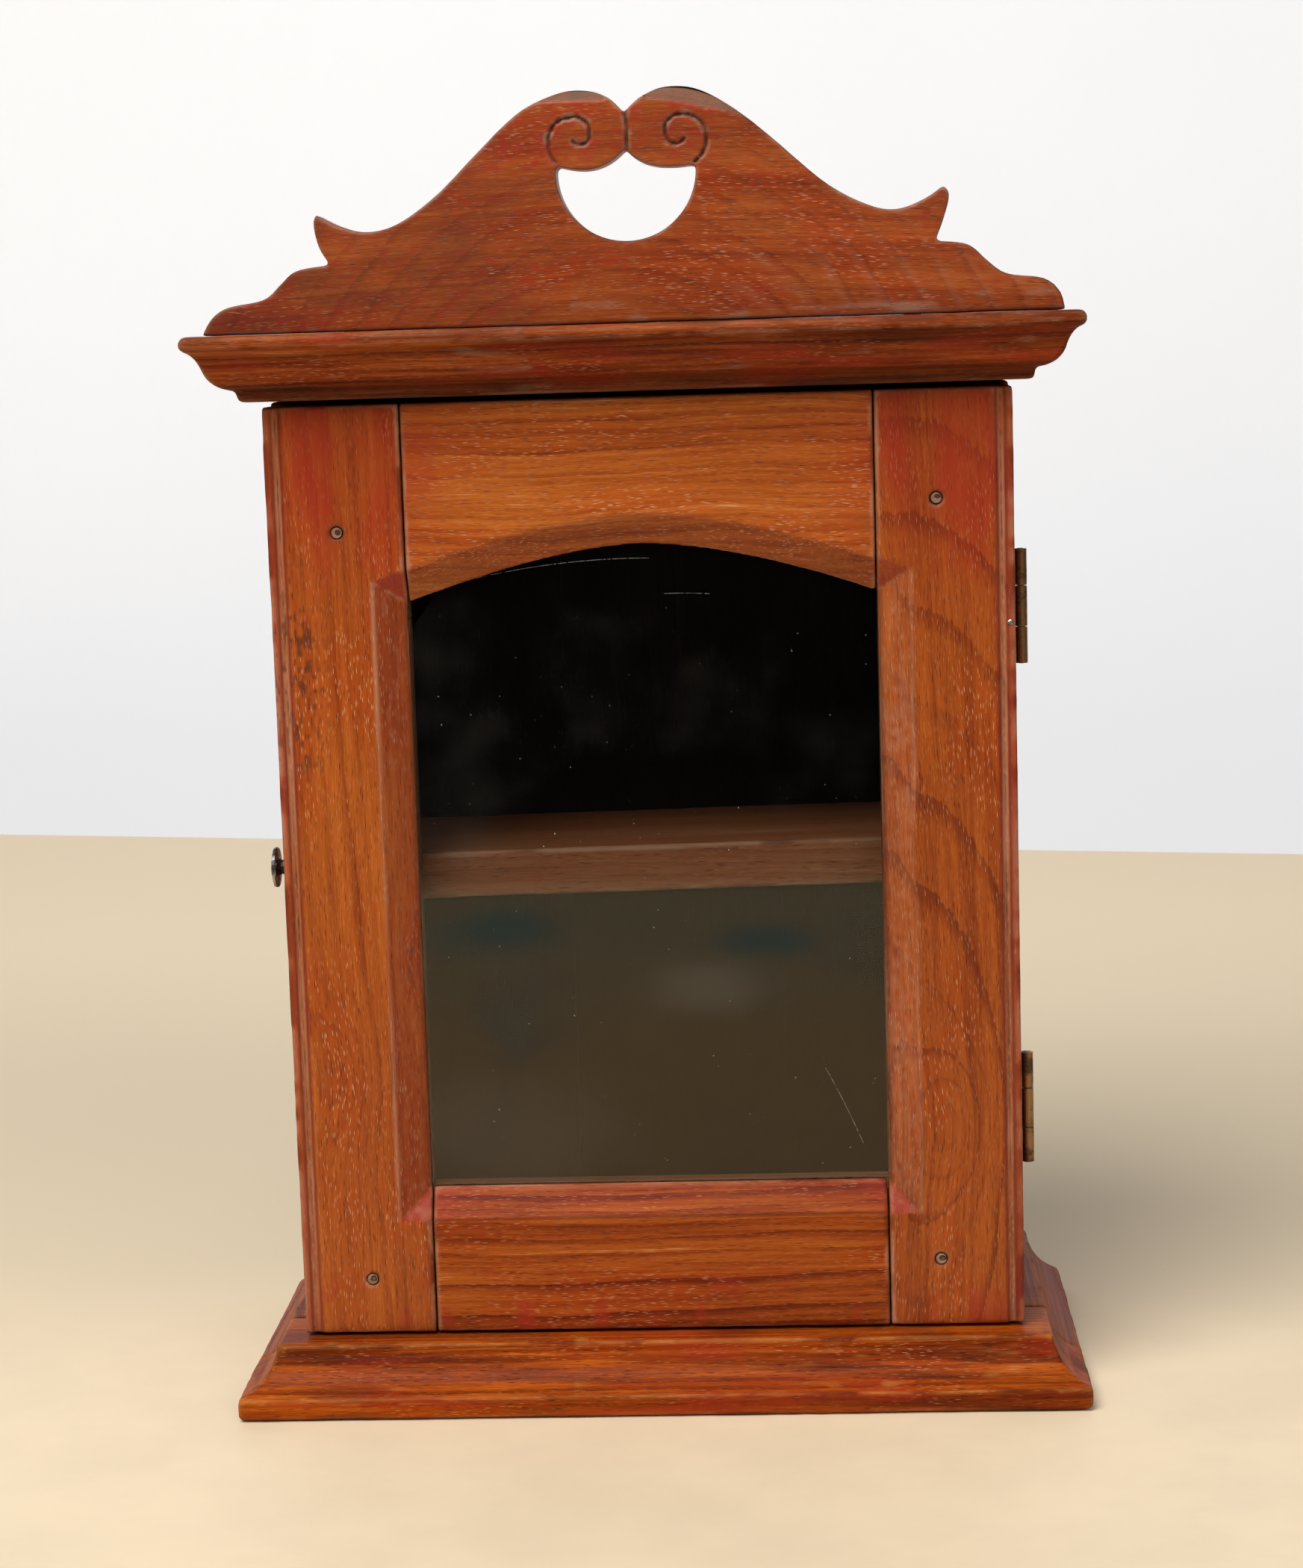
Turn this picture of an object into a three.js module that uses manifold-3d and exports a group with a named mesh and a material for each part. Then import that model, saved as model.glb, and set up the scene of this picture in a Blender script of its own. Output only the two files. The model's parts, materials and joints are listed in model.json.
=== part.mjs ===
// A small glazed display cabinet in teak: a moulded plinth, a box with one shelf, a moulded
// cornice with a scrolled pediment, and one glazed door that swings on two butt hinges.
//
// Millimetres, +Z up, the door faces -Y. The origin is on the floor, under the middle of the
// whole object's box. Every wooden piece, pane, hinge leaf and screw is its own closed solid.

import * as THREE from 'three';
import { mergeVertices } from 'three/addons/utils/BufferGeometryUtils.js';
import Module from 'manifold-3d';

const wasm = await Module();
wasm.setup();

// ---------------------------------------------------------------- driving dimensions

const GAP = 0.3; // between pieces that touch on the real object

const DEPTH = 143; // cornice front to back boards
const BACK = DEPTH / 2;

const DOOR_WIDTH = 258;
const DOOR_HEIGHT = 331.5;
const DOOR_THICKNESS = 17;
const STILE_WIDTH = 47.5;
const BOTTOM_RAIL_HEIGHT = 52.7;
const ARCH_CROWN_DROP = 50.8; // door top to the highest point of the glazed opening
const ARCH_RISE = 18.6;
const ARCH_EXPONENT = 1.62; // 2 would be a parabola; sawn by hand, its flanks are straighter
const CHAMFER_WIDTH = 11.6;
const CHAMFER_DEPTH = 6.2;
const REBATE_DEPTH = 7.6; // door face to the glass
const REBATE_LIP = 5.5; // how far the rebate runs behind the opening's edge
const ARCH_STEPS = 16;

const PLINTH_HEIGHT = 24.1;
const PLINTH_OVERHANG = 22; // past the door's face and the case's sides
const PLINTH_FILLET = 8.5;
const PLINTH_PROJECTION = 12.5; // fillet to the edge of the flat top
const PLINTH_RAIL_WIDTH = 44;

const DOOR_LIFT = 0.9; // plinth top to the door's bottom edge
const CORNICE_LIFT = 1.8; // door top to the cornice's underside
const CORNICE_HEIGHT = 22.9;
const CORNICE_OVERHANG = 23.4;
const CORNICE_RAIL_WIDTH = 44;
const CORNICE_PANEL_THICKNESS = 8;
const CORNICE_PANEL_LIP = 6;

const SIDE_THICKNESS = 13;
const BOARD_THICKNESS = 12;
const BACK_THICKNESS = 8;
const BACK_REBATE = 6.5; // how far the back boards lap over the side's rear edge
const BACK_BOARDS = 3;
const BACK_LAP = 5; // lapped joint between two back boards
const DOOR_GAP = 1; // door back to the case's front edge

const SHELF_THICKNESS = 17;
const SHELF_SETBACK = 8; // case front edge to the shelf's front edge
const SHELF_LEFT_HEIGHT = 195; // the hand-fitted shelf is a little lower at its left end
const SHELF_RIGHT_HEIGHT = 198;
const CLEAT_SECTION = 11;

const PEDIMENT_THICKNESS = 14;
const PEDIMENT_SETBACK = 10; // cornice front to the pediment's face
const DOWEL_RADIUS = 3;
const DOWEL_LENGTH = 26;
const DOWEL_SPACING = 190;

const HINGE_LENGTH = 40;
const HINGE_INSET = { lower: 74.9, upper: 76.9 }; // door end to the hinge's middle
const HINGE_OFFSET = 3; // case side to the hinge pin's axis
const BARREL_RADIUS = 2.2;
const PIN_RADIUS = 1.1;
const PIN_CLEARANCE = 0.09;
const LEAF_THICKNESS = 1;
const LEAF_REACH = 15; // pin axis to the leaf's far edge
const LEAF_RECESS = 0.95; // depth of the leaf's bed in the wood
const KNUCKLE_SHARE = 0.36; // the middle knuckle's share of the hinge's length
const SCREW_SPACING = 24;
const SCREW_REACH = 10; // pin axis to the screw's axis

const PEG_RADIUS = 1.9;
const TENON_THICKNESS = 6;
const TENON_LENGTH = 33;

const KNOB_RADIUS = 7.2;
const KNOB_NECK = 2.8;
const KNOB_HEIGHT = 194.5;

// ---------------------------------------------------------------- derived planes and heights

const CASE_HALF = DOOR_WIDTH / 2;
const DOOR_FACE = CORNICE_OVERHANG - BACK;
const DOOR_BACK = DOOR_FACE + DOOR_THICKNESS;
const CASE_FRONT = DOOR_BACK + DOOR_GAP;
const CASE_REAR = BACK - BACK_THICKNESS;
const DOOR_BOTTOM = PLINTH_HEIGHT + DOOR_LIFT;
const DOOR_TOP = DOOR_BOTTOM + DOOR_HEIGHT;
const CORNICE_BOTTOM = DOOR_TOP + CORNICE_LIFT;
const CORNICE_TOP = CORNICE_BOTTOM + CORNICE_HEIGHT;
const INNER_HALF = CASE_HALF - SIDE_THICKNESS;
const STILE_INNER = CASE_HALF - STILE_WIDTH;
const OPENING_BOTTOM = DOOR_BOTTOM + BOTTOM_RAIL_HEIGHT;
const OPENING_CROWN = DOOR_TOP - ARCH_CROWN_DROP;
const ARCH_SPRING = OPENING_CROWN - ARCH_RISE;
const HINGE_X = CASE_HALF + HINGE_OFFSET;
const HINGE_Y = DOOR_BACK + DOOR_GAP / 2;
const HINGE_HEIGHTS = {
  lower: DOOR_BOTTOM + HINGE_INSET.lower,
  upper: DOOR_TOP - HINGE_INSET.upper,
};
const PEDIMENT_FACE = PEDIMENT_SETBACK - BACK;
const PEDIMENT_BASE = CORNICE_TOP + GAP;

// ---------------------------------------------------------------- materials

const WOOD = { roughness: 0.45, metalness: 0 };
const finishes = {
  doorTeak: { color: 0x9a5220, ...WOOD },
  caseTeak: { color: 0x7d3a1c, ...WOOD },
  innerTeak: { color: 0x4a2814, roughness: 0.7, metalness: 0 },
  pegWood: { color: 0x4b2d1b, roughness: 0.7, metalness: 0 },
  glass: { color: 0xd8e2df, roughness: 0.05, metalness: 0, transparent: true, opacity: 0.3 },
  brass: { color: 0x5a4426, roughness: 0.45, metalness: 1 },
  steel: { color: 0x3c3a36, roughness: 0.4, metalness: 1 },
};

// ---------------------------------------------------------------- solids

function solid(geometry) {
  const bare = geometry.index ? geometry.toNonIndexed() : geometry.clone();
  bare.deleteAttribute('normal');
  bare.deleteAttribute('uv');
  const merged = mergeVertices(bare, 1e-4);
  return new wasm.Manifold(new wasm.Mesh({
    numProp: 3,
    vertProperties: new Float32Array(merged.attributes.position.array),
    triVerts: new Uint32Array(merged.index.array),
  }));
}

function geometryOf(manifold) {
  const mesh = manifold.getMesh();
  const geometry = new THREE.BufferGeometry();
  geometry.setAttribute('position', new THREE.BufferAttribute(mesh.vertProperties, 3));
  geometry.setIndex(new THREE.BufferAttribute(mesh.triVerts, 1));
  geometry.computeVertexNormals();
  return geometry;
}

function box([x0, x1], [y0, y1], [z0, z1]) {
  const geometry = new THREE.BoxGeometry(x1 - x0, y1 - y0, z1 - z0);
  return solid(geometry.translate((x0 + x1) / 2, (y0 + y1) / 2, (z0 + z1) / 2));
}

// A span on the left (-1) or right (+1) side, given by its distances from the middle.
function span(side, near, far) {
  return side > 0 ? [near, far] : [-far, -near];
}

function extruded(shape, length, basis, curveSegments = 6) {
  const geometry = new THREE.ExtrudeGeometry(shape, {
    depth: length, bevelEnabled: false, curveSegments,
  });
  return solid(geometry.applyMatrix4(basis));
}

// A (y, z) outline drawn along x.
function alongX(shape, [x0, x1]) {
  const basis = new THREE.Matrix4().makeBasis(
    new THREE.Vector3(0, 1, 0), new THREE.Vector3(0, 0, 1), new THREE.Vector3(1, 0, 0));
  return extruded(shape, x1 - x0, basis.setPosition(x0, 0, 0));
}

// An (x, z) outline drawn along y.
function alongY(shape, [y0, y1], curveSegments) {
  const basis = new THREE.Matrix4().makeBasis(
    new THREE.Vector3(1, 0, 0), new THREE.Vector3(0, 0, 1), new THREE.Vector3(0, -1, 0));
  return extruded(shape, y1 - y0, basis.setPosition(0, y1, 0), curveSegments);
}

function rod(radius, length, segments = 16) {
  return new THREE.CylinderGeometry(radius, radius, length, segments);
}

function rodAlongZ(radius, [z0, z1], x, y, segments) {
  const geometry = rod(radius, z1 - z0, segments).rotateX(Math.PI / 2);
  return solid(geometry.translate(x, y, (z0 + z1) / 2));
}

function rodAlongY(radius, [y0, y1], x, z, segments) {
  return solid(rod(radius, y1 - y0, segments).translate(x, (y0 + y1) / 2, z));
}

// ---------------------------------------------------------------- mouldings

// A path's points without the repeats where two of its curves meet.
function pointsOf(path, divisions) {
  const points = path.getPoints(divisions);
  return points.filter((p, i) => p.distanceTo(points[(i + 1) % points.length]) > 1e-3);
}

// Continues a path to (x, y) on a circular arc; `bulge` is +1 when the arc turns clockwise.
function arcTo(path, x, y, radius, bulge) {
  const start = path.currentPoint.clone();
  const chord = new THREE.Vector2(x, y).sub(start);
  const reach = Math.sqrt(radius * radius - chord.lengthSq() / 4);
  const normal = new THREE.Vector2(chord.y, -chord.x).normalize().multiplyScalar(bulge * reach);
  const centre = start.clone().addScaledVector(chord, 0.5).add(normal);
  const from = Math.atan2(start.y - centre.y, start.x - centre.x);
  const to = Math.atan2(y - centre.y, x - centre.x);
  path.absarc(centre.x, centre.y, radius, from, to, bulge > 0);
}

// Both profiles run upwards: x is the distance in from the overhanging edge, y is the height.
function plinthProfile() {
  const path = new THREE.Path();
  const coveTop = PLINTH_HEIGHT - 4.7;
  path.moveTo(2.4, 0);
  arcTo(path, 0, 2.4, 2.4, 1);
  path.lineTo(0, PLINTH_FILLET - 1);
  arcTo(path, 1, PLINTH_FILLET, 1, 1);
  arcTo(path, PLINTH_PROJECTION - 0.7, coveTop, 15.8, -1);
  path.lineTo(PLINTH_PROJECTION, coveTop + 0.2);
  path.lineTo(PLINTH_PROJECTION, PLINTH_HEIGHT - 1);
  arcTo(path, PLINTH_PROJECTION + 1, PLINTH_HEIGHT, 1, 1);
  return pointsOf(path, 5);
}

function corniceProfile() {
  const path = new THREE.Path();
  path.moveTo(16.9, 0);
  path.lineTo(16.4, 0.6);
  path.lineTo(16.2, 4);
  path.lineTo(15.6, 4.2);
  arcTo(path, 6.3, 11.4, 9.5, 1);
  arcTo(path, 2.9, 17, 12, -1);
  path.lineTo(0.9, 17.7);
  arcTo(path, 0, 19, 1.6, 1);
  path.lineTo(0, 20.5);
  arcTo(path, 2.4, CORNICE_HEIGHT, 2.4, 1);
  return pointsOf(path, 5);
}

// A solid block with the profile worked on its front and both ends, square at the back.
function mouldedBlock(profile, half, front, base) {
  const top = base + profile[profile.length - 1].y;
  const section = profile.map((p) => new THREE.Vector2(front + p.x, base + p.y));
  section.push(new THREE.Vector2(BACK, top), new THREE.Vector2(BACK, base));
  const rightEnd = profile.map((p) => new THREE.Vector2(half - p.x, base + p.y));
  const leftEnd = profile.map((p) => new THREE.Vector2(p.x - half, base + p.y)).reverse();
  const lengthwise = alongX(new THREE.Shape(section), [-half, half]);
  const crosswise = alongY(new THREE.Shape([...rightEnd, ...leftEnd]), [front - 1, BACK]);
  return lengthwise.intersect(crosswise);
}

// Cuts a moulded block into a full-width front rail, two side rails butted behind it, and a
// back rail between them.
function railsOf(block, railWidth, half, front, [z0, z1]) {
  const tall = [z0 - 1, z1 + 1];
  const behind = [front + railWidth + GAP, BACK + 1];
  const within = half - railWidth;
  const between = [GAP - within, within - GAP];
  return {
    front: block.intersect(box([-half - 1, half + 1], [front - 1, front + railWidth], tall)),
    left: block.intersect(box(span(-1, within, half + 1), behind, tall)),
    right: block.intersect(box(span(1, within, half + 1), behind, tall)),
    back: block.intersect(box(between, [BACK - railWidth * 0.7, BACK + 1], tall)),
  };
}

// ---------------------------------------------------------------- plinth

const PLINTH_HALF = CASE_HALF + PLINTH_OVERHANG;
const PLINTH_FRONT = DOOR_FACE - PLINTH_OVERHANG;
const PLINTH_SCREW = { headRadius: 4, shankRadius: 1.8, length: 42, inset: 1.2 };
const plinthScrewPlaces = [-1, 1].flatMap((side) => [
  { side, end: 'front', x: side * (CASE_HALF - SIDE_THICKNESS / 2), y: CASE_FRONT + 28 },
  { side, end: 'rear', x: side * (CASE_HALF - SIDE_THICKNESS / 2), y: CASE_REAR - 22 },
]);

function plinthRails() {
  const block = mouldedBlock(plinthProfile(), PLINTH_HALF, PLINTH_FRONT, 0);
  const rails = railsOf(block, PLINTH_RAIL_WIDTH, PLINTH_HALF, PLINTH_FRONT, [0, PLINTH_HEIGHT]);
  for (const { side, x, y } of plinthScrewPlaces) {
    const name = side < 0 ? 'left' : 'right';
    const hole = countersunkScrew(PLINTH_SCREW, GAP).rotateX(Math.PI / 2).translate(x, y, 0);
    rails[name] = rails[name].subtract(solid(hole));
  }
  return rails;
}

// ---------------------------------------------------------------- screws

// A countersunk screw along +Y with its head's face at y = inset; `ease` grows it into its hole.
function countersunkScrew({ headRadius, shankRadius, length, inset }, ease = 0) {
  const faceY = ease > 0 ? -1 : inset;
  const neck = inset + (headRadius - shankRadius);
  return new THREE.LatheGeometry([
    new THREE.Vector2(0, faceY),
    new THREE.Vector2(headRadius + ease, faceY),
    new THREE.Vector2(headRadius + ease, inset + ease),
    new THREE.Vector2(shankRadius + ease, neck + ease),
    new THREE.Vector2(shankRadius + ease, length + ease - 1),
    new THREE.Vector2(0, length + ease),
  ], 12);
}

// ---------------------------------------------------------------- case

function caseSide(side) {
  const height = [PLINTH_HEIGHT + GAP, CORNICE_BOTTOM - GAP];
  let board = box(span(side, INNER_HALF, CASE_HALF), [CASE_FRONT, BACK], height);
  const rebate = span(side, INNER_HALF - 1, INNER_HALF + BACK_REBATE);
  board = board.subtract(box(rebate, [CASE_REAR, BACK + 1], [0, CORNICE_TOP]));
  for (const place of plinthScrewPlaces.filter((p) => p.side === side)) {
    const hole = [0, PLINTH_SCREW.length + GAP];
    board = board.subtract(rodAlongZ(PLINTH_SCREW.shankRadius + GAP, hole, place.x, place.y, 12));
  }
  if (side > 0) board = bedHingeLeaves(board, 1);
  return board;
}

function caseBoard(z0) {
  return box([GAP - INNER_HALF, INNER_HALF - GAP], [CASE_FRONT, CASE_REAR - GAP],
    [z0, z0 + BOARD_THICKNESS]);
}

// One of the upright boards that close the back, counted from the left. Each laps over the next.
function backBoard(place) {
  const half = INNER_HALF + BACK_REBATE - GAP;
  const width = (2 * half) / BACK_BOARDS;
  const height = [PLINTH_HEIGHT + GAP, CORNICE_BOTTOM - GAP];
  const x0 = place * width - half;
  const x1 = x0 + width - GAP;
  const halfway = BACK - BACK_THICKNESS / 2;
  let board = box([x0, x1], [CASE_REAR, BACK], height);
  if (place > 0) {
    board = board.subtract(box([x0 - 1, x0 + BACK_LAP], [CASE_REAR - 1, halfway + GAP], [0, CORNICE_TOP]));
  }
  if (place < BACK_BOARDS - 1) {
    board = board.add(box([x1 - 1, x1 + BACK_LAP], [CASE_REAR, halfway], height));
  }
  return board;
}

const shelfTilt = Math.atan((SHELF_RIGHT_HEIGHT - SHELF_LEFT_HEIGHT) / (2 * INNER_HALF));
const shelfMiddle = (SHELF_LEFT_HEIGHT + SHELF_RIGHT_HEIGHT) / 2;
const shelfFront = CASE_FRONT + SHELF_SETBACK;

function shelf() {
  const half = INNER_HALF - 2 * GAP;
  return box([-half, half], [shelfFront, CASE_REAR - GAP], [-SHELF_THICKNESS, 0]);
}

function shelfCleat(side) {
  const x = span(side, INNER_HALF - CLEAT_SECTION, INNER_HALF - GAP);
  const shelfHeight = shelfMiddle + side * Math.tan(shelfTilt) * INNER_HALF;
  const drop = Math.abs(Math.tan(shelfTilt)) * CLEAT_SECTION;
  const top = shelfHeight - SHELF_THICKNESS - drop - GAP;
  return box(x, [shelfFront + 8, CASE_REAR - GAP], [top - CLEAT_SECTION, top]);
}

// ---------------------------------------------------------------- cornice

const CORNICE_HALF = CASE_HALF + CORNICE_OVERHANG;
const CORNICE_FRONT = DOOR_FACE - CORNICE_OVERHANG;

function cornicePanelBox(ease) {
  const half = CORNICE_HALF - CORNICE_RAIL_WIDTH + CORNICE_PANEL_LIP + ease;
  const front = CORNICE_FRONT + CORNICE_RAIL_WIDTH - CORNICE_PANEL_LIP - ease;
  const rear = BACK - CORNICE_RAIL_WIDTH * 0.7 + CORNICE_PANEL_LIP + ease;
  const top = CORNICE_TOP + (ease > 0 ? 1 : 0);
  return box([-half, half], [front, rear], [CORNICE_TOP - CORNICE_PANEL_THICKNESS - ease, top]);
}

function dowel(side, ease = 0) {
  const y = PEDIMENT_FACE + PEDIMENT_THICKNESS / 2;
  const reach = DOWEL_LENGTH / 2 + ease;
  const height = [PEDIMENT_BASE - reach, PEDIMENT_BASE + reach];
  return rodAlongZ(DOWEL_RADIUS + ease, height, (side * DOWEL_SPACING) / 2, y, 12);
}

function corniceRails() {
  let block = mouldedBlock(corniceProfile(), CORNICE_HALF, CORNICE_FRONT, CORNICE_BOTTOM);
  block = block.subtract(cornicePanelBox(GAP));
  block = block.subtract(dowel(-1, GAP)).subtract(dowel(1, GAP));
  return railsOf(block, CORNICE_RAIL_WIDTH, CORNICE_HALF, CORNICE_FRONT,
    [CORNICE_BOTTOM, CORNICE_TOP]);
}

// ---------------------------------------------------------------- pediment

// Each half of the sawn outline, from the toe to the cleft between the scrolls. It was cut by
// hand, so the halves differ. Distances are from the middle and heights from the base.
const LEFT_HALF = {
  toe: [[145.6, 0], [141.8, 5.8], [136, 9.2], [124, 11.3], [118, 16.2], [112.4, 20.6], [101, 22.3]],
  horn: [[104.5, 28.2], [106, 36], [104.8, 38.9]],
  valley: [[97, 35], [88, 32.8], [77.5, 35.1], [63.9, 44.3], [49, 58.4]],
  scroll: [[35.4, 70.4], [22, 76.4], [12, 76.9], [4.8, 74.2], [0, 69.4]],
};
const RIGHT_HALF = {
  toe: [[146, 0], [144, 6.2], [138.5, 10.5], [126.5, 12.4], [120, 17], [113.6, 22.4], [103, 23.8]],
  horn: [[105.8, 30.8], [107.9, 38.8], [105.9, 42]],
  valley: [[99.5, 37.8], [90, 34.7], [80.2, 36.7], [66, 44.7], [48.5, 60.2]],
  scroll: [[35.4, 70.6], [24, 76.6], [13.4, 77.4], [5.6, 74.3], [0, 69.4]],
};
const HOLE_RADIUS = 23.4;
const HOLE_HEIGHT = 50.4;
const SCROLL_MEETING = 57.2; // where the scrolls part above the hole
const SCROLL_CORNER = { left: 2, right: 1.2 }; // how far the scrolls' outer ends rise over it

function halfOutline({ toe, horn, valley, scroll }, side) {
  const vectors = (points) => points.map(([x, z]) => new THREE.Vector2(x, z));
  const path = new THREE.Path();
  path.moveTo(...toe[0]);
  path.splineThru(vectors(toe.slice(1)));
  path.splineThru(vectors(horn));
  path.splineThru(vectors([...valley, ...scroll]));
  return pointsOf(path, 4).map((p) => new THREE.Vector2(side * p.x, PEDIMENT_BASE + p.y));
}

function pedimentHole() {
  const hole = new THREE.Path();
  const centre = PEDIMENT_BASE + HOLE_HEIGHT;
  const corner = (rise, side) => side * Math.sqrt(HOLE_RADIUS ** 2 - rise ** 2);
  const { left, right } = SCROLL_CORNER;
  const underside = centre + 0.1;
  hole.moveTo(corner(left, -1), centre + left);
  hole.bezierCurveTo(-17, underside, -8, underside - 2.2, 0, PEDIMENT_BASE + SCROLL_MEETING);
  hole.bezierCurveTo(5, underside + 0.4, 13, underside - 0.6, corner(right, 1), centre + right);
  hole.absarc(0, centre, HOLE_RADIUS, Math.asin(right / HOLE_RADIUS),
    Math.PI - Math.asin(left / HOLE_RADIUS), true);
  return new THREE.Path(pointsOf(hole, 14).reverse());
}

function pediment() {
  const outline = new THREE.Shape([
    ...halfOutline(LEFT_HALF, -1),
    ...halfOutline(RIGHT_HALF, 1).reverse().slice(1),
  ]);
  outline.holes.push(pedimentHole());
  const board = alongY(outline, [PEDIMENT_FACE, PEDIMENT_FACE + PEDIMENT_THICKNESS]);
  return board.subtract(dowel(-1, GAP)).subtract(dowel(1, GAP));
}

// ---------------------------------------------------------------- door

// Height of the arch at x, grown outwards by `ease`.
function archHeight(x, ease) {
  const share = Math.abs(x) / STILE_INNER;
  const slope = (ARCH_RISE * ARCH_EXPONENT * share ** (ARCH_EXPONENT - 1)) / STILE_INNER;
  return OPENING_CROWN - ARCH_RISE * share ** ARCH_EXPONENT + ease * Math.hypot(1, slope);
}

// The glazed opening's outline in (x, z), grown by `ease`: square below, arched above.
function openingOutline(ease) {
  const half = STILE_INNER + ease;
  const points = [
    new THREE.Vector2(-half, OPENING_BOTTOM - ease),
    new THREE.Vector2(half, OPENING_BOTTOM - ease),
  ];
  for (let i = 0; i <= ARCH_STEPS; i += 1) {
    const x = half * (1 - (2 * i) / ARCH_STEPS);
    points.push(new THREE.Vector2(x, archHeight(x, ease)));
  }
  return points;
}

// A closed solid between two outlines with matching points, at two depths.
function loft(front, frontY, rear, rearY) {
  const count = front.length;
  const positions = [
    ...front.flatMap((p) => [p.x, frontY, p.y]),
    ...rear.flatMap((p) => [p.x, rearY, p.y]),
  ];
  const index = [];
  for (const [a, b, c] of THREE.ShapeUtils.triangulateShape(front, [])) index.push(a, b, c);
  for (const [a, b, c] of THREE.ShapeUtils.triangulateShape(rear, [])) {
    index.push(count + a, count + c, count + b);
  }
  for (let i = 0; i < count; i += 1) {
    const j = (i + 1) % count;
    index.push(i, count + i, count + j, i, count + j, j);
  }
  const geometry = new THREE.BufferGeometry();
  geometry.setAttribute('position', new THREE.Float32BufferAttribute(positions, 3));
  geometry.setIndex(index);
  return solid(geometry);
}

// What the maker's planes and chisels took out of the assembled frame: the mitred chamfer, the
// opening itself, and the rebate for the glass.
function openingCutter() {
  const proud = 1;
  const frontEase = (CHAMFER_WIDTH * (CHAMFER_DEPTH + proud)) / CHAMFER_DEPTH;
  const chamfer = loft(openingOutline(frontEase), DOOR_FACE - proud,
    openingOutline(0), DOOR_FACE + CHAMFER_DEPTH);
  const through = alongY(new THREE.Shape(openingOutline(0)), [DOOR_FACE + 1, DOOR_BACK + 1]);
  const rebate = alongY(new THREE.Shape(openingOutline(REBATE_LIP)),
    [DOOR_FACE + REBATE_DEPTH, DOOR_BACK + 1]);
  return chamfer.add(through).add(rebate);
}

const railSpans = {
  bottom: { z: [DOOR_BOTTOM, OPENING_BOTTOM + 1], tenon: [DOOR_BOTTOM + 7, DOOR_BOTTOM + 37] },
  top: { z: [OPENING_BOTTOM + 100, DOOR_TOP], tenon: [DOOR_TOP - 50, DOOR_TOP - 10] },
};
const tenonDepth = [DOOR_FACE + 5.6, DOOR_FACE + 5.6 + TENON_THICKNESS];
// The peg holes were drilled by eye, so each has its own distance from the door's edges.
const pegPlaces = [
  { side: -1, end: 'upper', x: 24.3 - CASE_HALF, z: DOOR_TOP - 43.9 },
  { side: -1, end: 'lower', x: 25.1 - CASE_HALF, z: DOOR_BOTTOM + 20.1 },
  { side: 1, end: 'upper', x: CASE_HALF - 26.7, z: DOOR_TOP - 37.6 },
  { side: 1, end: 'lower', x: CASE_HALF - 29.4, z: DOOR_BOTTOM + 24.3 },
];

function grown([low, high], ease) {
  return [low - ease, high + ease];
}

function peg({ x, z }, ease = 0) {
  const front = ease > 0 ? DOOR_FACE - 1 : DOOR_FACE + 0.2;
  return rodAlongY(PEG_RADIUS + ease, [front, DOOR_FACE + 14 + ease], x, z, 12);
}

function stile(side, cutter) {
  const height = [DOOR_BOTTOM, DOOR_TOP];
  let board = box(span(side, STILE_INNER, CASE_HALF), [DOOR_FACE, DOOR_BACK], height);
  board = board.subtract(cutter);
  board = board.subtract(rodAlongZ(1.35, grown(height, 1), side * (CASE_HALF - 4.4), DOOR_FACE));
  for (const { tenon } of Object.values(railSpans)) {
    const mortise = span(side, STILE_INNER - 1, STILE_INNER + TENON_LENGTH + GAP);
    board = board.subtract(box(mortise, grown(tenonDepth, GAP), grown(tenon, GAP)));
  }
  for (const place of pegPlaces.filter((p) => p.side === side)) {
    board = board.subtract(peg(place, GAP));
  }
  if (side > 0) return bedHingeLeaves(board, -1);
  return board.subtract(solid(knobGeometry(GAP)));
}

function rail({ z, tenon }, cutter) {
  const shoulder = STILE_INNER - GAP;
  const reach = STILE_INNER + TENON_LENGTH;
  let board = box([-shoulder, shoulder], [DOOR_FACE, DOOR_BACK], z);
  board = board.add(box([-reach, reach], tenonDepth, tenon)).subtract(cutter);
  for (const place of pegPlaces) board = board.subtract(peg(place, GAP));
  return board;
}

// The pane follows the arch, with its upper left corner nipped off by the glass cutter.
function glassPane() {
  const pane = alongY(new THREE.Shape(openingOutline(REBATE_LIP - 0.5)),
    [DOOR_FACE + REBATE_DEPTH + 0.1, DOOR_FACE + REBATE_DEPTH + 2.6]);
  const nip = new THREE.Shape();
  const edge = STILE_INNER + REBATE_LIP;
  nip.moveTo(-edge, ARCH_SPRING - 21);
  nip.quadraticCurveTo(-edge + 7, ARCH_SPRING - 5, -edge + 20, ARCH_SPRING + 8);
  nip.lineTo(-edge, ARCH_SPRING + 14);
  return pane.subtract(alongY(nip, [DOOR_FACE, DOOR_BACK]));
}

const BEAD_WIDTH = 5;
const beadDepth = [DOOR_FACE + REBATE_DEPTH + 2.9, DOOR_BACK - 0.4];

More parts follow.
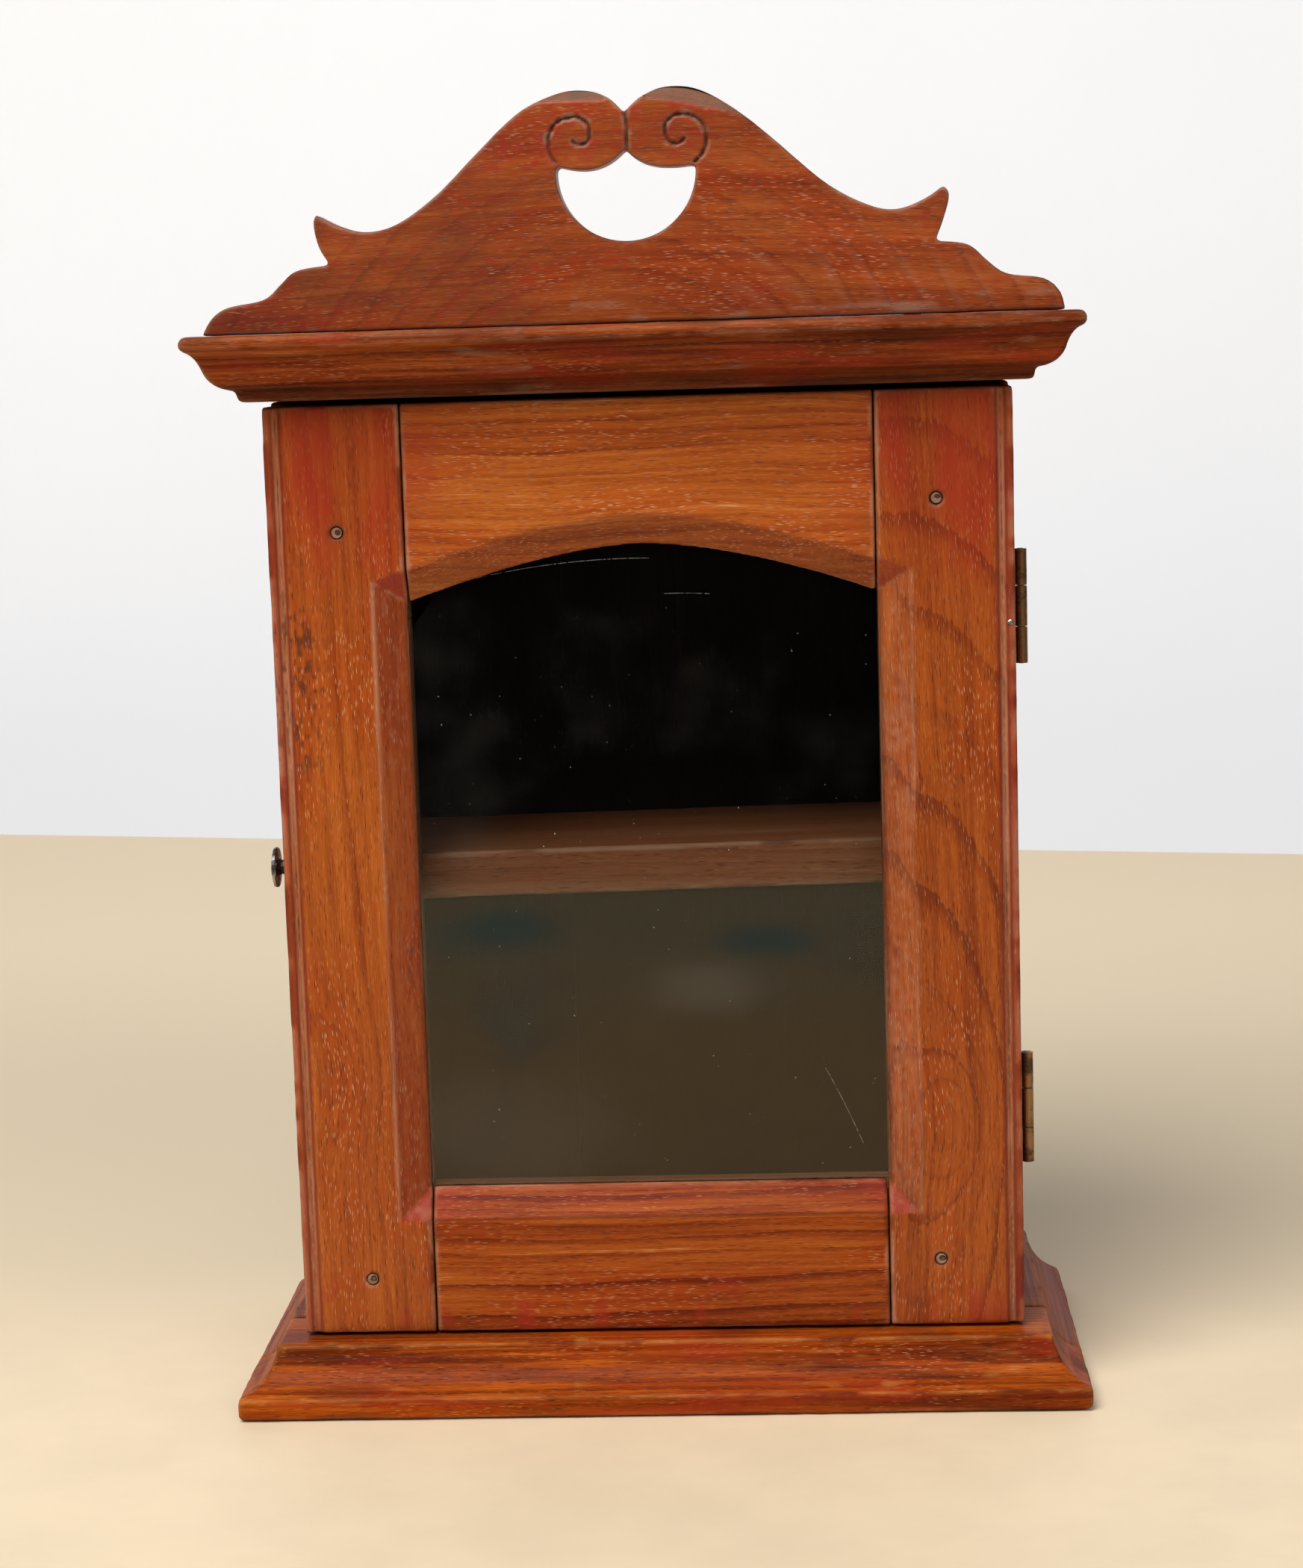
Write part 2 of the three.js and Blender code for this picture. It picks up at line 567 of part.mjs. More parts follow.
// The strips that hold the pane from behind: a ring along the rebate, cut at its corners.
function glazingBeads() {
  const outer = alongY(new THREE.Shape(openingOutline(REBATE_LIP - GAP)), beadDepth);
  const inner = alongY(new THREE.Shape(openingOutline(REBATE_LIP - GAP - BEAD_WIDTH)),
    grown(beadDepth, 1));
  const ring = outer.subtract(inner);
  const half = STILE_INNER + REBATE_LIP;
  const sill = OPENING_BOTTOM - REBATE_LIP + BEAD_WIDTH;
  const spring = ARCH_SPRING - 6;
  const depth = grown(beadDepth, 1);
  return {
    bottom: ring.intersect(box([-half, half], depth, [DOOR_BOTTOM, sill])),
    left: ring.intersect(box([-half, 0], depth, [sill + GAP, spring])),
    right: ring.intersect(box([0, half], depth, [sill + GAP, spring])),
    top: ring.intersect(box([-half, half], depth, [spring + GAP, DOOR_TOP])),
  };
}

// A turned pull screwed into the door's free edge at mid height.
function knobGeometry(ease = 0) {
  const profile = ease > 0
    ? [[0, 14 + ease], [1.6 + ease, 14 + ease], [1.6 + ease, -1], [0, -1]]
    : [[0, 14], [1.6, 12], [1.6, 0], [2.9, -0.2], [2.5, -1.8], [3.4, -KNOB_NECK],
      [KNOB_RADIUS - 0.3, -KNOB_NECK - 0.1], [KNOB_RADIUS, -KNOB_NECK - 0.5],
      [KNOB_RADIUS - 0.2, -KNOB_NECK - 1.4], [4, -KNOB_NECK - 2.2], [0, -KNOB_NECK - 2.5]];
  const points = profile.reverse().map(([r, y]) => new THREE.Vector2(r, y));
  const geometry = new THREE.LatheGeometry(points, 24).rotateZ(-Math.PI / 2);
  return geometry.translate(-CASE_HALF, DOOR_FACE + DOOR_THICKNESS / 2, KNOB_HEIGHT);
}

// ---------------------------------------------------------------- hinges

const HINGE_SCREW = { headRadius: 2.3, shankRadius: 1, length: 11, inset: 0.15 };

// Leaf and screws are bedded in the case side (facing = +1) or in the door stile (-1).
function bedHingeLeaves(board, facing) {
  const edge = facing > 0 ? CASE_FRONT : DOOR_BACK;
  const bed = facing > 0 ? [edge - 1, edge + LEAF_RECESS] : [edge - LEAF_RECESS, edge + 1];
  let cut = board;
  for (const height of Object.values(HINGE_HEIGHTS)) {
    const reach = HINGE_LENGTH / 2 + GAP;
    const across = [HINGE_X - LEAF_REACH - GAP, CASE_HALF + 1];
    cut = cut.subtract(box(across, bed, [height - reach, height + reach]));
    for (const end of [-1, 1]) {
      cut = cut.subtract(solid(hingeScrew(facing, height, end, GAP)));
    }
  }
  return cut;
}

function hingeScrew(facing, height, end, ease = 0) {
  const geometry = countersunkScrew(HINGE_SCREW, ease);
  if (facing < 0) geometry.rotateX(Math.PI);
  return geometry.translate(HINGE_X - SCREW_REACH, HINGE_Y + facing * 0.15,
    height + (end * SCREW_SPACING) / 2);
}

// The door's leaf carries the two outer knuckles and the case's leaf the middle one.
function hingeLeaf(facing, height) {
  const half = HINGE_LENGTH / 2;
  const middle = HINGE_LENGTH * KNUCKLE_SHARE * 0.5;
  const knuckles = facing > 0
    ? [[height - middle + 0.15, height + middle - 0.15]]
    : [[height - half, height - middle - 0.15], [height + middle + 0.15, height + half]];
  const near = HINGE_Y + facing * 0.15;
  const far = near + facing * LEAF_THICKNESS;
  const thickness = [Math.min(near, far), Math.max(near, far)];
  const clearOfBarrel = HINGE_X - BARREL_RADIUS - 0.4;
  let leaf = box([HINGE_X - LEAF_REACH, clearOfBarrel], thickness, [height - half, height + half]);
  for (const knuckle of knuckles) {
    leaf = leaf.add(box([clearOfBarrel - 1, HINGE_X], thickness, knuckle));
    leaf = leaf.add(rodAlongZ(BARREL_RADIUS, knuckle, HINGE_X, HINGE_Y, 20));
  }
  const bore = [height - half - 1, height + half + 1];
  leaf = leaf.subtract(rodAlongZ(PIN_RADIUS + PIN_CLEARANCE, bore, HINGE_X, HINGE_Y, 20));
  for (const end of [-1, 1]) {
    leaf = leaf.subtract(solid(hingeScrew(facing, height, end, GAP)));
  }
  return leaf;
}

function hingePin(height) {
  const half = HINGE_LENGTH / 2 + 0.2;
  return rodAlongZ(PIN_RADIUS, [height - half, height + half], HINGE_X, HINGE_Y, 20);
}

// ---------------------------------------------------------------- assembly

const cabinet = new THREE.Group();

function place(name, shape, finish, parent = cabinet) {
  const geometry = shape.isBufferGeometry ? shape : geometryOf(shape);
  const mesh = new THREE.Mesh(geometry, new THREE.MeshStandardMaterial(finishes[finish]));
  mesh.name = name;
  parent.add(mesh);
  return mesh;
}

function sideName(side) {
  return side < 0 ? 'left' : 'right';
}

for (const [where, shape] of Object.entries(plinthRails())) {
  place(`plinth_${where}_rail`, shape, 'caseTeak');
}
for (const { side, end, x, y } of plinthScrewPlaces) {
  const screw = countersunkScrew(PLINTH_SCREW).rotateX(Math.PI / 2).translate(x, y, 0);
  place(`plinth_screw_${sideName(side)}_${end}`, geometryOf(solid(screw)), 'steel');
}

for (const side of [-1, 1]) place(`case_${sideName(side)}_side`, caseSide(side), 'caseTeak');
place('case_bottom_board', caseBoard(PLINTH_HEIGHT + GAP), 'innerTeak');
place('case_top_board', caseBoard(CORNICE_BOTTOM - GAP - BOARD_THICKNESS), 'innerTeak');
['left', 'middle', 'right'].forEach((where, i) => {
  place(`back_board_${where}`, backBoard(i), 'innerTeak');
});

const shelfBoard = place('shelf', shelf(), 'innerTeak');
shelfBoard.position.z = shelfMiddle;
shelfBoard.rotation.y = -shelfTilt;
for (const side of [-1, 1]) place(`shelf_cleat_${sideName(side)}`, shelfCleat(side), 'innerTeak');

for (const [where, shape] of Object.entries(corniceRails())) {
  place(`cornice_${where}_rail`, shape, 'caseTeak');
}
place('cornice_panel', cornicePanelBox(0), 'caseTeak');
place('pediment', pediment(), 'caseTeak');
for (const side of [-1, 1]) place(`pediment_dowel_${sideName(side)}`, dowel(side), 'pegWood');

const door = new THREE.Group();
cabinet.add(door);
const cutter = openingCutter();
for (const side of [-1, 1]) {
  place(`door_${sideName(side)}_stile`, stile(side, cutter), 'doorTeak', door);
}
for (const [where, rails] of Object.entries(railSpans)) {
  place(`door_${where}_rail`, rail(rails, cutter), 'doorTeak', door);
}
for (const spot of pegPlaces) {
  place(`door_peg_${sideName(spot.side)}_${spot.end}`, peg(spot), 'pegWood', door);
}
place('glass_pane', glassPane(), 'glass', door);
for (const [where, shape] of Object.entries(glazingBeads())) {
  place(`glazing_bead_${where}`, shape, 'innerTeak', door);
}
place('door_knob', geometryOf(solid(knobGeometry())), 'steel', door);

for (const [level, height] of Object.entries(HINGE_HEIGHTS)) {
  place(`${level}_hinge_case_leaf`, hingeLeaf(1, height), 'brass');
  place(`${level}_hinge_pin`, hingePin(height), 'brass');
  place(`${level}_hinge_door_leaf`, hingeLeaf(-1, height), 'brass', door);
  for (const [where, end] of [['bottom', -1], ['top', 1]]) {
    const caseScrew = geometryOf(solid(hingeScrew(1, height, end)));
    const doorScrew = geometryOf(solid(hingeScrew(-1, height, end)));
    place(`${level}_hinge_case_screw_${where}`, caseScrew, 'brass');
    place(`${level}_hinge_door_screw_${where}`, doorScrew, 'brass', door);
  }
}

export default cabinet;
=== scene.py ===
"""The display case's looks: aged teak boards, old glass, bronze hinges and a steel knob on the CAD frame."""

import itertools
import json
import math
from types import SimpleNamespace

import bmesh
import bpy
import numpy as np
from mathutils import Matrix, Vector
from mathutils.bvhtree import BVHTree

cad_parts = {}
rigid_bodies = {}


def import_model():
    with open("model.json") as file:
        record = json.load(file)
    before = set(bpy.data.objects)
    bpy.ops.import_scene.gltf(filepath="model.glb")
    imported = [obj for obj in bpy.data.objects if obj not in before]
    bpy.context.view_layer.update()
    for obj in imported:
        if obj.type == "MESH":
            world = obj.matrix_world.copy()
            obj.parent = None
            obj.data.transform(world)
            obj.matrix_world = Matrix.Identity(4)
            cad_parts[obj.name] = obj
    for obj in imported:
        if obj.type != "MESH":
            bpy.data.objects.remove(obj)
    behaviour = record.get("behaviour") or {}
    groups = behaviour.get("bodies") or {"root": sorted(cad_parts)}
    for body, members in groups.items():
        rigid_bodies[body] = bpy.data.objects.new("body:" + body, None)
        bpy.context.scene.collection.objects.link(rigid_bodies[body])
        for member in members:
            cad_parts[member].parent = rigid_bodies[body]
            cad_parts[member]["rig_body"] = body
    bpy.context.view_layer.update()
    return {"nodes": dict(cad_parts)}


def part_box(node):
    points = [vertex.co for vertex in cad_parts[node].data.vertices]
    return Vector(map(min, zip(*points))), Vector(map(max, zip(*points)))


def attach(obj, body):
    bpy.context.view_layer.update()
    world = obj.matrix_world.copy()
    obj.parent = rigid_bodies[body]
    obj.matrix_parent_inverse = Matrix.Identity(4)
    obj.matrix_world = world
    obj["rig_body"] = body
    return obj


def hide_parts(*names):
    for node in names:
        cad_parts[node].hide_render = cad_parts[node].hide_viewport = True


MM = 0.001

# Sizes repeated from the CAD source, in millimetres.
DOOR_FACE = -48.1
GLASS_FACE = -40.4
STILE_INNER = 81.5
BEAD_X = 124.6
CHAMFER = 11.6
CHAMFER_DEPTH = 6.2
OPENING_BOTTOM = 77.7
OPENING_CROWN = 305.7
ARCH_RISE = 18.6
PEDIMENT_FACE = -61.5
PEDIMENT_BASE = 381.5

# The mitres of the door's chamfer: their lowest point, and the upper ones' inner end and rise.
MITRE_LOW = OPENING_BOTTOM - CHAMFER
MITRE_SPRING = OPENING_CROWN - ARCH_RISE
MITRE_RISE = 8.0

# The red corners above the upper mitres end here, and fall this far across the chamfer.
CORNER_TOP = 299.5
CORNER_FALL = 4.4

# Heights between which the arch, the cornice's cove and the cornice's fillet lie; shade is painted in all
# three.
ARCH = (283, 324)
CORNICE_COVE = (350, 364.5)
CORNICE_FILLET = (373.0, 374.8)

# Marks of their own on the door, as (across, up): its red upper corners, a scuffed edge and a knot.
RED_CORNER = (112, 354)
SCUFFED_EDGE = (-121, 262)
DIRTY_KNOT = (-84, 160)

# The pediment's growth lines: rings round this height, stretched along the board.
PEDIMENT_HEART = 336.0
PEDIMENT_TAPER = 0.95
PEDIMENT_SPACING = 9.5

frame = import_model()

COARSE = 1.0


# ---------------------------------------------------------------- shaping

# Odd numbers that mix a lattice cell's place and a seed into a hash.
HASH_AXES = np.array([73856093, 19349663, 83492791])
HASH_SEED = 2654435
HASH_TURN = 1274126177


def lattice_noise(points, size, seed):
    """Smooth noise from -1 to 1 at each point; size is the cell, one number or one for each axis."""
    place = points / np.asarray(size, float) + 11.7 * seed
    cell = np.floor(place).astype(np.int64)
    share = place - cell
    share = share * share * (3 - 2 * share)
    total = np.zeros(len(points))
    for corner in itertools.product((0, 1), repeat=3):
        key = (cell + corner) @ HASH_AXES + seed * HASH_SEED
        key = ((key ^ (key >> 13)) * HASH_TURN) & 0x7FFFFFFF
        value = ((key ^ (key >> 15)) % 65536) / 32767.5 - 1
        weight = np.prod(np.where(corner, share, 1 - share), axis=1)
        total += value * weight
    return total


def smooth_step(low, high, value):
    """0 at low, 1 at high, smooth between; low may be the larger."""
    share = np.clip((value - low) / (high - low), 0, 1)
    return share * share * (3 - 2 * share)


def between(value, low, high, soft=0.4):
    """1 between low and high and 0 outside, with soft ends."""
    return smooth_step(low - soft, low + soft, value) * smooth_step(high + soft, high - soft, value)


def read(what, name, width, kind=np.float32):
    """One attribute of all points or edges, a row for each."""
    values = np.zeros(len(what) * width, kind)
    what.foreach_get(name, values)
    return values.reshape(-1, width)


def link(name, mesh):
    """A new object in the scene."""
    thing = bpy.data.objects.new(name, mesh)
    bpy.context.scene.collection.objects.link(thing)
    return thing


def finished_mesh(name, shape):
    """A mesh made from an edited shape, which is let go."""
    mesh = bpy.data.meshes.new(name)
    shape.to_mesh(mesh)
    shape.free()
    return mesh


def shade_smooth(mesh):
    """Shades every face smooth."""
    mesh.polygons.foreach_set("use_smooth", np.ones(len(mesh.polygons), bool))


def relaxed(points, edges, rounds):
    """The points, each moved towards the middle of its neighbours some number of times."""
    total = len(points)
    both = np.concatenate([edges, edges[:, ::-1]])
    count = np.bincount(both[:, 0], minlength=total)[:, None]
    for _ in range(rounds):
        sums = [np.bincount(both[:, 0], points[both[:, 1], k], total) for k in range(3)]
        points = points + 0.5 * (np.stack(sums, axis=1) / count - points)
    return points


def welded_copy(node):
    """A mesh with the CAD node's shape whose shared corners are one vertex each."""
    mesh = frame["nodes"][node].data.copy()
    shape = bmesh.new()
    shape.from_mesh(mesh)
    bmesh.ops.remove_doubles(shape, verts=shape.verts, dist=0.01 * MM)
    shape.to_mesh(mesh)
    shape.free()
    return mesh


def remeshed(node, voxel):
    """An even mesh of the CAD node's shape, as a new object named after it."""
    coarse = link("coarse_" + node, welded_copy(node))
    change = coarse.modifiers.new("remesh", "REMESH")
    change.mode = "VOXEL"
    change.voxel_size = voxel * MM
    graph = bpy.context.evaluated_depsgraph_get()
    mesh = bpy.data.meshes.new_from_object(coarse.evaluated_get(graph))
    bpy.data.objects.remove(coarse)
    mesh.materials.clear()
    # The CAD node's own normals don't fit the new faces.
    for name in [a.name for a in mesh.attributes if a.name == "custom_normal"]:
        mesh.attributes.remove(mesh.attributes[name])
    return link(node + "_aged", mesh)


def neighbour_distance(node, points, reach):
    """How far each point is from the nearest other CAD node of the same body, up to reach."""
    body = frame["nodes"][node]["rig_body"]
    near = np.full(len(points), float(reach))
    corners, faces = [], []
    wanted = np.zeros(len(points), bool)
    for name, other in frame["nodes"].items():
        if name == node or other["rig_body"] != body:
            continue
        low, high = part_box(name)
        low, high = np.array(low) / MM - reach, np.array(high) / MM + reach
        inside = np.all((points > low) & (points < high), axis=1)
        if not inside.any():
            continue
        wanted |= inside
        start = len(corners)
        corners.extend(v.co / MM for v in other.data.vertices)
        faces.extend([start + i for i in p.vertices] for p in other.data.polygons)
    if not faces:
        return near
    tree = BVHTree.FromPolygons(corners, faces)
    for i in np.flatnonzero(wanted):
        distance = tree.find_nearest(points[i], reach)[3]
        if distance is not None:
            near[i] = distance
    return near


def write_age(mesh, worn, dirt_and_shade, stain):
    """Keeps three masks on the mesh for its material: worn arrises with painted highlights, dirt with painted
    shade, and red stain.
    """
    values = np.stack([worn, dirt_and_shade, stain, np.ones(len(worn))], axis=1)
    layer = mesh.attributes.new("age_marks_and_painted_light", "FLOAT_COLOR", "POINT")
    layer.data.foreach_set("color", np.clip(values, 0, 1).astype(np.float32).ravel())


def aged(node, voxel, seed, wear=1.0, waves=0.06, carve=None, marks=None):
    """A worn copy of a CAD board: softened arrises, slight waves, and masks for wear with painted highlights,
    dirt with painted shade, and stain.
    """
    piece = remeshed(node, voxel * COARSE)
    mesh = piece.data
    edges = read(mesh.edges, "vertices", 2, np.int32)
    normals = read(mesh.vertices, "normal", 3).astype(float)
    even = relaxed(read(mesh.vertices, "co", 3).astype(float) / MM, edges, 3)
    soft = relaxed(even, edges, 16)

    # An arris stands out from the softer shape by its bulge, and a corner between faces stands in.
    bulge = np.einsum("ij,ij->i", even - soft, normals)
    uneven = lattice_noise(even, 16, seed) + 0.7 * lattice_noise(even, 5, seed + 1)
    near = neighbour_distance(node, even, 3.0)
    share = np.clip(0.34 * wear + 0.42 * wear * uneven, 0, 1) * smooth_step(0.3, 2.2, near)
    points = np.where(bulge[:, None] > 0, even + (soft - even) * share[:, None], even)
    swell = lattice_noise(even, 38, seed + 2) + 0.5 * lattice_noise(even, 11, seed + 3)
    points = points - normals * (waves * (0.6 + 0.4 * swell))[:, None]
    if carve:
        points = carve(points, even)
    mesh.vertices.foreach_set("co", (points * MM).astype(np.float32).ravel())
    mesh.update()

    broken = 0.55 + 0.45 * lattice_noise(even, 6, seed + 4) + 0.35 * lattice_noise(even, 1.6, seed + 5)
    # Dark where another part is near and in inner corners: partly dirt in the joints, partly painted
    # occlusion shade.
    joint_dirt_and_occlusion_shade = np.maximum(smooth_step(1.1, 0.2, near), smooth_step(0.08, 0.35, -bulge)) * broken
    arrises = 0.45 * smooth_step(0.10, 0.36, bulge) * smooth_step(0.2, -0.7, uneven)
    worn = smooth_step(0.12, 0.42, bulge) * smooth_step(-0.75, 0.5, uneven)
    none = np.zeros(len(even))
    more_worn_and_highlight, more_dirt_and_shade, stain = marks(even) if marks else (none, none, none)
    write_age(mesh, np.maximum(worn, more_worn_and_highlight), np.maximum.reduce([joint_dirt_and_occlusion_shade, arrises, more_dirt_and_shade]), stain)

    shade_smooth(mesh)
    body = frame["nodes"][node]["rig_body"]
    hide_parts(node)
    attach(piece, body)
    return piece


def eased(node, width):
    """Rounds the edges of a CAD node that is kept, by modifiers."""
    shown = frame["nodes"][node]
    weld = shown.modifiers.new("weld", "WELD")
    weld.merge_threshold = 0.01 * MM
    bevel = shown.modifiers.new("bevel", "BEVEL")
    bevel.width = width * MM
    bevel.segments = 3
    bevel.limit_method = "ANGLE"
    bevel.angle_limit = math.radians(35)
    bevel.harden_normals = True
    return shown


# ------------------------------------------------- shapes special to one board


# A carved scroll's reach from its middle, at even steps from its start to its eye.
SCROLL_REACH = (10.6, 7.7, 5.9, 6.2, 5.3, 1.9)

# The bare bevels on top of the scrolls, above the pediment's base: the left one's ends and lower edge,
# and points along the right one's lower edge, as (across, up).
LEFT_BEVEL_ENDS = (-31, -6.5)
LEFT_BEVEL_EDGE = 73.1
RIGHT_BEVEL_ENDS = (7, 44)
RIGHT_BEVEL_EDGE = ((7, 73.3), (15, 72.4), (25, 70.1), (35.5, 67.9), (43.5, 64.4))
BEVEL_SLOPE = 0.75

GROOVE_DEPTH = 1.2
FOOT_DROP = 0.3  # how far the pediment's foot sinks, to stand on the worn cornice


def spiral(middle, start, turn, side):
    """A carved scroll's centre line: a hook that rises, turns over and winds in. side mirrors it."""
    share = np.linspace(0, 1, 60)
    reach = np.interp(share, np.linspace(0, 1, len(SCROLL_REACH)), SCROLL_REACH)
    angle = np.radians(start + turn * share)
    return np.stack([middle[0] + side * reach * np.cos(angle), middle[1] + reach * np.sin(angle)], axis=1)


def line_distance(flat, line):
    """How far each flat point is from a line of points."""
    best = np.full(len(flat), 1e9)
    for a, b in zip(line[:-1], line[1:]):
        ab = b - a
        share = np.clip(((flat - a) @ ab) / (ab @ ab), 0, 1)
        gap = flat - a - share[:, None] * ab
        best = np.minimum(best, np.hypot(gap[:, 0], gap[:, 1]))
    return best


# The carved lines, as (across, above the pediment's base).
SCROLLS = (spiral((-17.2, 62.3), 235, -325, 1), spiral((19.3, 62.2), 249, -359, -1))
SCROLL_SEAM = np.array([(0.6, 57.0), (0.9, 62.5), (0.4, 69.5)])


def scroll_distance(flat):
    """How far each flat point is from the nearest carved line, which wavers a little."""
    lines = [line_distance(flat, line) for line in (*SCROLLS, SCROLL_SEAM)]
    return np.minimum.reduce(lines) + 0.15 * np.sin(flat[:, 0] * 1.7 + flat[:, 1])


def bevel_height(flat):
    """How far each flat point is above the lower edge of the scrolls' bevels, up to 9."""
    x, z = flat[:, 0], flat[:, 1]
    left = np.where((x > LEFT_BEVEL_ENDS[0]) & (x < LEFT_BEVEL_ENDS[1]), z - LEFT_BEVEL_EDGE, -1)
    edge = np.interp(x, *zip(*RIGHT_BEVEL_EDGE))
    right = np.where((x > RIGHT_BEVEL_ENDS[0]) & (x < RIGHT_BEVEL_ENDS[1]), z - edge, -1)
    return np.clip(np.maximum(left, right), 0, 9)


def pediment_flat(points):
    """The points as (across, above the pediment's base)."""
    return np.stack([points[:, 0], points[:, 2] - PEDIMENT_BASE], axis=1)


def pediment_front(points):
    """1 at the pediment's face, 0 from 4 mm behind it."""
    return smooth_step(PEDIMENT_FACE + 4, PEDIMENT_FACE + 1, points[:, 1])


def carve_pediment(points, even):
    """Cuts the scrolls and bevels into the face, and lowers the foot onto the cornice."""
    flat = pediment_flat(even)
    groove = GROOVE_DEPTH * smooth_step(0.95, 0.1, scroll_distance(flat))
    cut = np.maximum(groove, BEVEL_SLOPE * bevel_height(flat))
    moved = points.copy()
    moved[:, 1] += cut * pediment_front(even)
    moved[:, 2] -= FOOT_DROP * smooth_step(PEDIMENT_BASE + 1.6, PEDIMENT_BASE + 0.4, even[:, 2])
    return moved


def growth_comb(even):
    """The pediment's growth lines, as narrow bands across its horizontal fibres."""
    reach = np.hypot(PEDIMENT_TAPER * even[:, 0], even[:, 2] - PEDIMENT_HEART)
    reach = reach + 4 * lattice_noise(even, 17, 36)
    comb = smooth_step(0.25, 0.95, np.sin(reach * 2 * math.pi / PEDIMENT_SPACING))
    return comb * (0.6 + 0.4 * lattice_noise(even, (6, 4, 3), 35))


def pediment_marks(even):
    """Where the pediment is bare, rubbed, dirty and stained red, and where shade and highlights are painted
    at its carving and foot.
    """
    flat = pediment_flat(even)
    x, z = flat[:, 0], flat[:, 1]
    front = pediment_front(even)
    gap = scroll_distance(flat)
    comb = growth_comb(even)
    bare = smooth_step(0.2, 1.2, bevel_height(flat)) * (0.75 + 0.25 * lattice_noise(even, 3, 31))

    # Painted highlight: pale edges beside the carved lines, carried in the worn mask.
    beside = smooth_step(1.9, 1.0, gap) * smooth_step(-0.2, 0.5, lattice_noise(even, 2.2, 33))
    rub = smooth_step(14, 1, z) * smooth_step(0.15, 0.6, lattice_noise(even, (9, 4, 3), 34)) * (x > -20)
    right = comb * smooth_step(24, 44, x) * smooth_step(46, 4, z)
    worn = np.maximum.reduce([bare, 0.8 * beside, 0.7 * rub, 0.2 * right]) * front

    # Painted shade: the carved lines are darkened, and a thin shadow line runs along the foot where it stands
    # on the cornice.
    groove = smooth_step(0.75, 0.2, gap)
    foot = smooth_step(1.6, 0.4, z)
    grime = smooth_step(-10, -70, x) * (0.26 + 0.24 * lattice_noise(even, (14, 9, 7), 40))
    dirt_and_shade = np.maximum.reduce([0.88 * groove, 0.7 * foot, 0.62 * bare, grime]) * front

    around = smooth_step(9.0, 1.0, gap)
    speckle = smooth_step(0.1, 0.55, lattice_noise(even, (2.6, 2.2, 1.4), 8))
    broken = smooth_step(-0.5, 0.4, lattice_noise(even, (8, 4, 8), 39))
    left = smooth_step(-12, -40, x) * (0.6 * comb * broken + 0.45 * speckle)
    patch = smooth_step(0.0, 0.7, lattice_noise(even, (26, 9, 11), 6))
    stain = 0.9 * around * (0.25 + speckle) + left + 0.8 * patch * (0.15 + speckle)
    return worn, dirt_and_shade, np.clip(stain, 0, 0.95)


def chamfer_zones(x, y, z):
    """The parts of the chamfer round the glass, each a share from 0 to 1; x is from the door's middle."""
    front = smooth_step(CHAMFER_DEPTH + 1.0, CHAMFER_DEPTH + 0.2, y - DOOR_FACE)
    out = (x - STILE_INNER) / CHAMFER
    low = OPENING_BOTTOM - CHAMFER * out
    high = MITRE_SPRING + MITRE_RISE * out
    stile = between(x, STILE_INNER - 0.3, STILE_INNER + CHAMFER, 0.3) * front
    rail = smooth_step(STILE_INNER + 0.5, STILE_INNER, x) * front
    sill = rail * between(z, MITRE_LOW, OPENING_BOTTOM + 1)
    ridge = np.minimum(np.abs(z - low), np.abs(z - high))
    return SimpleNamespace(
        lower=stile * between(z, MITRE_LOW, low, 0.3),
        upper=stile * between(z, high, CORNER_TOP - CORNER_FALL * out, 0.3),
        side=stile * between(z, low, high),
        ridge=stile * smooth_step(1.0, 0.3, ridge),
        arch=rail * between(z, *ARCH) * smooth_step(0.3, 0.9, y - DOOR_FACE),
        sill=sill,
        sill_line=sill * smooth_step(1.0, 0.3, np.abs(z - MITRE_LOW - 0.4)),
    )


def spot(x, z, middle, squeeze, far, near):
    """An upright oval patch: 1 near its middle, 0 far from it."""
    return smooth_step(far, near, np.hypot(x - middle[0], (z - middle[1]) * squeeze))


